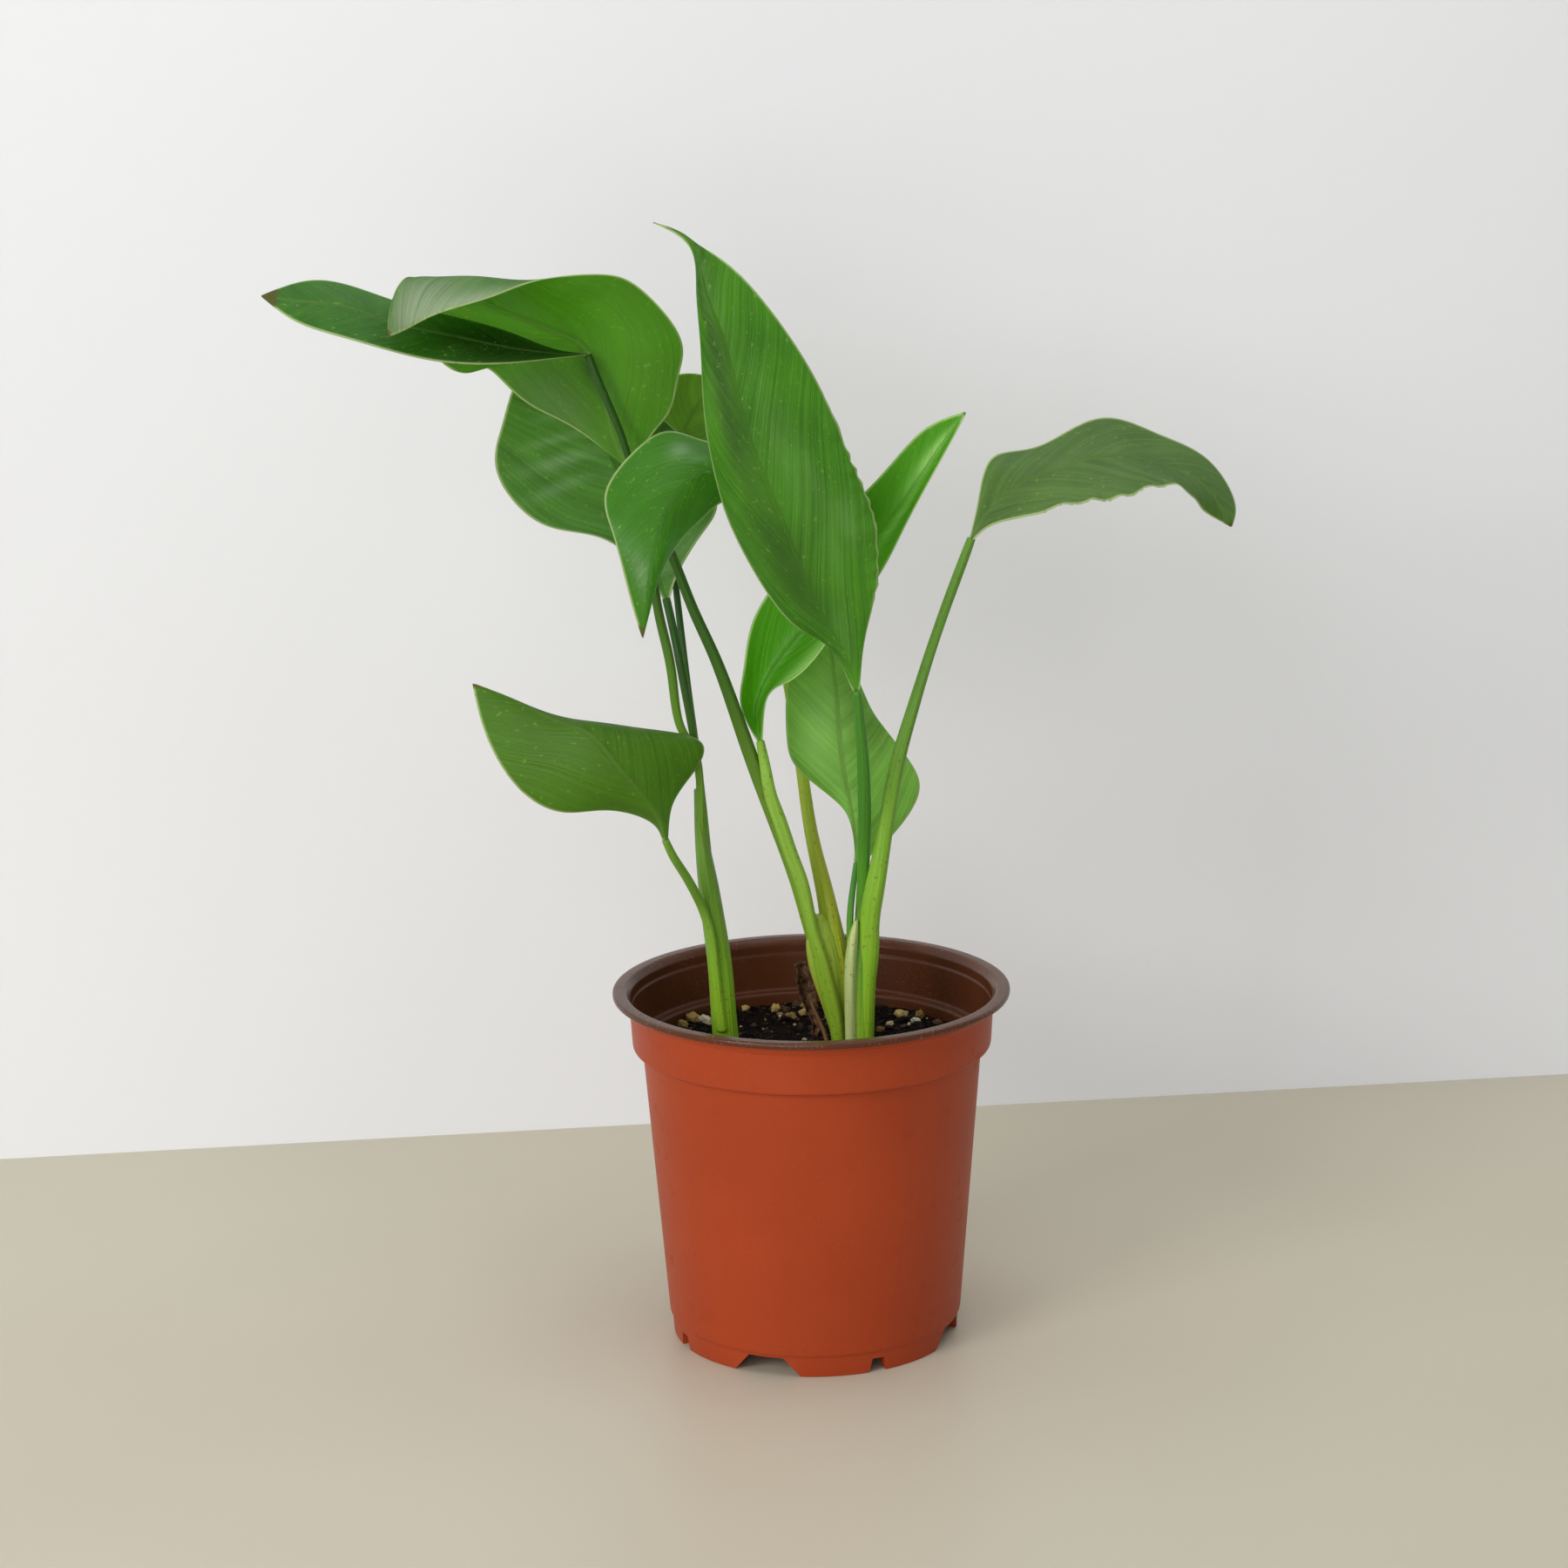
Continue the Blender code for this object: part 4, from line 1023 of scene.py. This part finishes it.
def add_dry_leaf():
    finish = dry_finish()
    rows = np.array(DRY_LEAF, float)
    knots = knots_along(rows[:, 1])
    rows = smooth_rows(rows.reshape(len(rows), -1), knots, np.linspace(0, knots[-1], DRY_ROWS))
    rows = rows.reshape(DRY_ROWS, -1, 3)
    grid = np.array([smooth_rows(row, [-1, 0, 1], np.linspace(-1, 1, DRY_COLUMNS)) for row in rows])
    for row in grid:
        for point in row:
            place = Vector(point)
            for i, shift in enumerate((3, 17, 31)):
                crumple = 1.3 * noise.noise(place * 0.32 + Vector((shift, 0, 0)))
                point[i] += crumple + 0.5 * noise.noise(place * 0.9)
    thin = np.full(grid.shape[:2], DRY_HALF_THICKNESS)
    points, faces = thicken(grid, thin, thin)
    make_piece("dry_bract", points, faces, finish, None, "dry_brown", ["dry_leaf"])
    stalk = [(0, 14, 127, 0.7, 0.7), (1.2, 13, 124, 0.7, 0.7)]
    stalk += [(4.2, 11, 117.5, 0.8, 0.8), (6.2, 9, 111, 0.9, 0.9)]
    points, faces, values = sweep(stalk, 24, 12)
    reddish = stem_finish("dry_stalk", rgb(128, 78, 52), rgb(150, 96, 68))
    make_piece("dry_stalk", points, faces, reddish, values, "dry_brown")


def look(dark, light, under, glow, **more):
    made = {
        "dark": rgb(*dark), "light": rgb(*light), "under": rgb(*under), "glow": rgb(*glow),
        "glow_light": rgb(*[min(255, int(c * 1.15) + 8) for c in glow]),
        # sheen is the colour of painted highlights and shade the colour of painted shadow; sheens and shades
        # place them on the blade.
        "sheen": rgb(150, 186, 118), "shade": rgb(*[int(c * 0.62) for c in dark]),
        "pale": rgb(140, 180, 84), "margin": rgb(206, 218, 156), "dull": 0.8, "rib": 0.9, "rib_share": 0.25,
        "rim_share": 0.9, "brown": 0.0, "bands": 0.32, "lines": 0.34, "relief": 0.5, "rough": 0.40,
        "gloss": 0.34, "thin": 0.42, "crease": 1.0, "upper_in_front": True, "slant": 0.9,
        "sheens": (), "shades": (),
    }
    made.update(more)
    return made


# Each blade's sheens are patches of painted highlight and reflection, and its shades are patches of painted
# shadow.
LOOKS = {
    "leaf_tall": look(
        (58, 104, 32), (96, 152, 42), (84, 130, 52), (132, 205, 40), crease=0.6, rib_share=0.12, slant=2.2,
        sheens=((0.34, 0.72, 0.05, 0.12, 0.34), (0.14, 0.3, 0.05, 0.2, 0.2), (0.28, 0.5, 0.07, 0.08, 0.16),
                (0.45, 0.55, 0.1, 0.08, 0.2), (0.5, 0.35, 0.16, 0.14, 0.2)),
        shades=((0.62, -0.25, 0.25, 0.25, 0.55), (0.27, -0.15, 0.1, 0.35, 0.4), (0.9, 0.2, 0.1, 0.6, 0.35)),
    ),
    "leaf_hood": look(
        (54, 98, 22), (84, 136, 32), (86, 136, 36), (138, 204, 28), upper_in_front=False, brown=3.0,
        rib_share=0.5, sheen=rgb(180, 190, 164), bands=0.2, lines=0.34, slant=1.3,
        sheens=((0.86, 0.85, 0.13, 0.45, 1.0), (0.72, 1.0, 0.08, 0.12, 0.7), (0.22, -0.75, 0.12, 0.35, 0.15)),
        shades=((0.27, -0.05, 0.06, 0.12, 0.5),),
    ),
    "leaf_long": look(
        (44, 88, 22), (80, 128, 44), (66, 110, 40), (110, 190, 26), brown=5.0, rib_share=0.35,
        shades=((0.25, 0.0, 0.26, 1.2, 0.85),),
    ),
    "leaf_broad": look(
        (66, 106, 38), (98, 142, 68), (66, 104, 44), (120, 176, 56), bands=0.5, relief=0.7, rib_share=0.1,
        slant=0.35, thin=0.5, sheen=rgb(172, 196, 158),
        sheens=((0.55, -0.5, 0.02, 0.3, 0.5), (0.62, -0.45, 0.015, 0.3, 0.36), (0.48, -0.6, 0.015, 0.3, 0.36),
                (0.70, -0.4, 0.015, 0.25, 0.3)),
    ),
    "leaf_back": look(
        (104, 136, 62), (126, 160, 82), (110, 142, 68), (150, 190, 80), rib_share=0.15, thin=0.5,
    ),
    "leaf_pointed": look(
        (46, 108, 20), (68, 142, 30), (80, 134, 34), (116, 205, 26), brown=4.0, rough=0.32, gloss=0.45,
        rib_share=0.06, crease=0.4, slant=1.6, lines=0.14, sheen=rgb(158, 182, 142),
        sheens=((0.36, -0.62, 0.05, 0.16, 0.7), (0.3, -0.35, 0.05, 0.1, 0.4), (0.8, -0.3, 0.06, 0.3, 0.35)),
    ),
    "leaf_young": look(
        (58, 122, 18), (90, 158, 34), (86, 150, 36), (150, 232, 30), upper_in_front=False, rough=0.3,
        rib_share=0.15, slant=2.0, sheen=rgb(182, 226, 132),
        sheens=((0.22, 0.95, 0.24, 0.26, 1.0), (0.86, -0.15, 0.09, 0.24, 0.9), (0.72, 0.3, 0.1, 0.18, 0.5)),
        shades=((0.62, -0.6, 0.12, 0.5, 0.35),),
    ),
    "leaf_arching": look(
        (68, 100, 44), (106, 138, 72), (92, 126, 56), (136, 180, 56), brown=1.0, rough=0.36, gloss=0.45,
        rib_share=0.3, slant=1.6, lines=0.3,
    ),
    "leaf_small": look(
        (72, 110, 26), (98, 136, 38), (84, 124, 30), (136, 190, 28), upper_in_front=False, brown=3.0,
        rib_share=0.3, lines=0.36, slant=1.4,
    ),
    "leaf_low": look(
        (104, 150, 62), (148, 194, 98), (122, 164, 74), (160, 215, 80), rough=0.5, rib_share=0.3,
        sheens=((0.5, -0.4, 0.16, 0.35, 0.45),), shades=((0.62, 0.4, 0.15, 0.4, 0.3),),
    ),
}
BLADES["leaf_tall"]["ripples"] = ((1, 22, 118, 0.6, 9.0, 0.4),)
BLADES["leaf_arching"]["ripples"] = ((1, 22, 96, 0.9, 13.0, 0.35),)


def add_plant():
    for node, blade in BLADES.items():
        add_blade(node, blade, LOOKS[node])
    green = stem_finish("petiole_green", rgb(130, 182, 54), rgb(42, 88, 26))
    hood = stem_finish("petiole_hood", rgb(158, 204, 50), rgb(58, 104, 28), rgb(176, 122, 88), 0.35)
    young = stem_finish("petiole_young", rgb(166, 208, 56), rgb(160, 206, 76), rgb(176, 112, 80), 0.4)
    olive = stem_finish("petiole_olive", rgb(184, 198, 42), rgb(190, 216, 80), rgb(184, 100, 62), 0.36)
    bright = stem_finish("petiole_bright", rgb(176, 230, 58), rgb(112, 164, 58))
    tall = stem_finish("petiole_tall", rgb(132, 204, 54), rgb(80, 152, 48))
    clump = stem_finish("clump_green", rgb(176, 226, 58), rgb(124, 172, 58))
    pale = stem_finish("sheath_pale", rgb(230, 240, 158), rgb(224, 238, 160), rgb(140, 112, 60), 0.9)
    finishes = {
        "stem_hood": hood, "stem_pointed": olive, "stem_arching": bright, "stem_tall": tall,
        "stem_young": young, "stem_small": clump, "stem_low": tall,
    }
    for node, path in PETIOLES.items():
        add_petiole(node, path, finishes.get(node, green), 0.16, -60.0)
    shoots = {"shoot_left": clump, "shoot_middle": olive, "shoot_right": bright}
    for node, path in SHOOTS.items():
        add_shoot(node, path, shoots[node])
    sheath = (
        (15.2, -3, 109, 2.4, 4.4), (15.0, -3, 120, 2.4, 4.6), (14.7, -3.4, 136.5, 2.3, 4.8),
        (15.2, -4, 150, 2.3, 4.6), (16.6, -4.6, 161, 1.4, 3.6), (17.4, -5, 165, 0.5, 1.6),
    )
    add_sheath("sheath_right", sheath, pale, (140, 140), (340, 340))


def aimed(obj, place, target):
    obj.location = Vector(place)
    obj.rotation_euler = (Vector(target) - Vector(place)).to_track_quat("-Z", "Y").to_euler()


def add_light(name, place, target, size, power, colour):
    light = bpy.data.lights.new(name, "AREA")
    light.size = size
    light.energy = power
    light.color = colour
    obj = bpy.data.objects.new(name, light)
    bpy.context.scene.collection.objects.link(obj)
    aimed(obj, place, target)


def add_stage():
    """The pale table, the wall behind it, the lights and the world."""
    s = Shader("table_top")
    cloud = s.noise(s.place, 3.0, 2.0)
    colour = s.mix(cloud, rgb(198, 190, 169), rgb(203, 196, 176))
    table = s.finish(s.surface(colour, 0.42, Specular_IOR_Level=0.35))
    s = Shader("wall_paint")
    colour = s.mix(s.noise(s.place, 1.5, 1.0), rgb(238, 239, 242), rgb(243, 244, 247))
    face = s.surface(colour, 0.9, Specular_IOR_Level=0.1)
    clear = s.node("ShaderNodeBsdfTransparent").outputs[0]
    behind = s.node("ShaderNodeNewGeometry").outputs["Backfacing"]
    wall = s.finish(s.node("ShaderNodeMixShader", {0: behind, 1: face, 2: clear}).outputs[0])
    floor = make_piece("table", [(-3000, -3000, 0), (3000, -3000, 0), (3000, 3000, 0), (-3000, 3000, 0)],
                       [(0, 1, 2, 3)], table)
    across = np.array((math.cos(math.radians(7.2)), math.sin(math.radians(7.2)), 0))
    foot = np.array((-2.0, 260.0, -1.0))
    left, right = foot - across * 2600, foot + across * 2600
    up = np.array((0, 0, 2400))
    panel = make_piece("wall", [left, right, right + up, left + up], [(0, 1, 2, 3)], wall)
    for obj, towards in ((floor, (0, 0, 1)), (panel, (0, -1, 0))):
        if obj.data.polygons[0].normal.dot(Vector(towards)) < 0:
            obj.data.flip_normals()
    target = Vector(AXIS) + Vector((0, 0, 0.22))
    add_light("key", Vector(AXIS) + Vector((-1.35, -1.5, 1.05)), target, 0.8, 19.5, (1.0, 0.985, 0.965))
    add_light("front", Vector(AXIS) + Vector((-0.5, -2.1, 0.6)), target, 1.2, 12.0, (0.98, 0.99, 1.0))
    high = Vector(AXIS) + Vector((0.4, 0.0, 0.6))
    add_light("top", Vector(AXIS) + Vector((0.35, -0.35, 1.9)), high, 1.2, 8.5, (0.97, 0.985, 1.0))
    world = bpy.data.worlds.new("studio")
    bpy.context.scene.world = world
    world.use_nodes = True
    back = world.node_tree.nodes["Background"]
    back.inputs["Color"].default_value = (0.95, 0.97, 1.0, 1.0)
    back.inputs["Strength"].default_value = 0.36


def add_camera():
    camera = bpy.data.cameras.new("camera")
    camera.sensor_width = 36
    camera.lens = 84
    obj = bpy.data.objects.new("camera", camera)
    bpy.context.scene.collection.objects.link(obj)
    tilt = Matrix.Rotation(math.radians(90 - 13.03), 4, "X")
    roll = Matrix.Rotation(-0.0147, 4, "Z")
    place = Matrix.Translation(Vector(AXIS) + Vector((-9.27, -1349.9, 529.6)) * MM)
    obj.matrix_world = place @ tilt @ roll
    bpy.context.scene.camera = obj


def main():
    add_camera()
    add_stage()
    add_pot()
    add_soil()
    add_crumbs()
    add_dry_leaf()
    add_plant()
    bpy.context.scene.view_settings.view_transform = "Standard"


main()
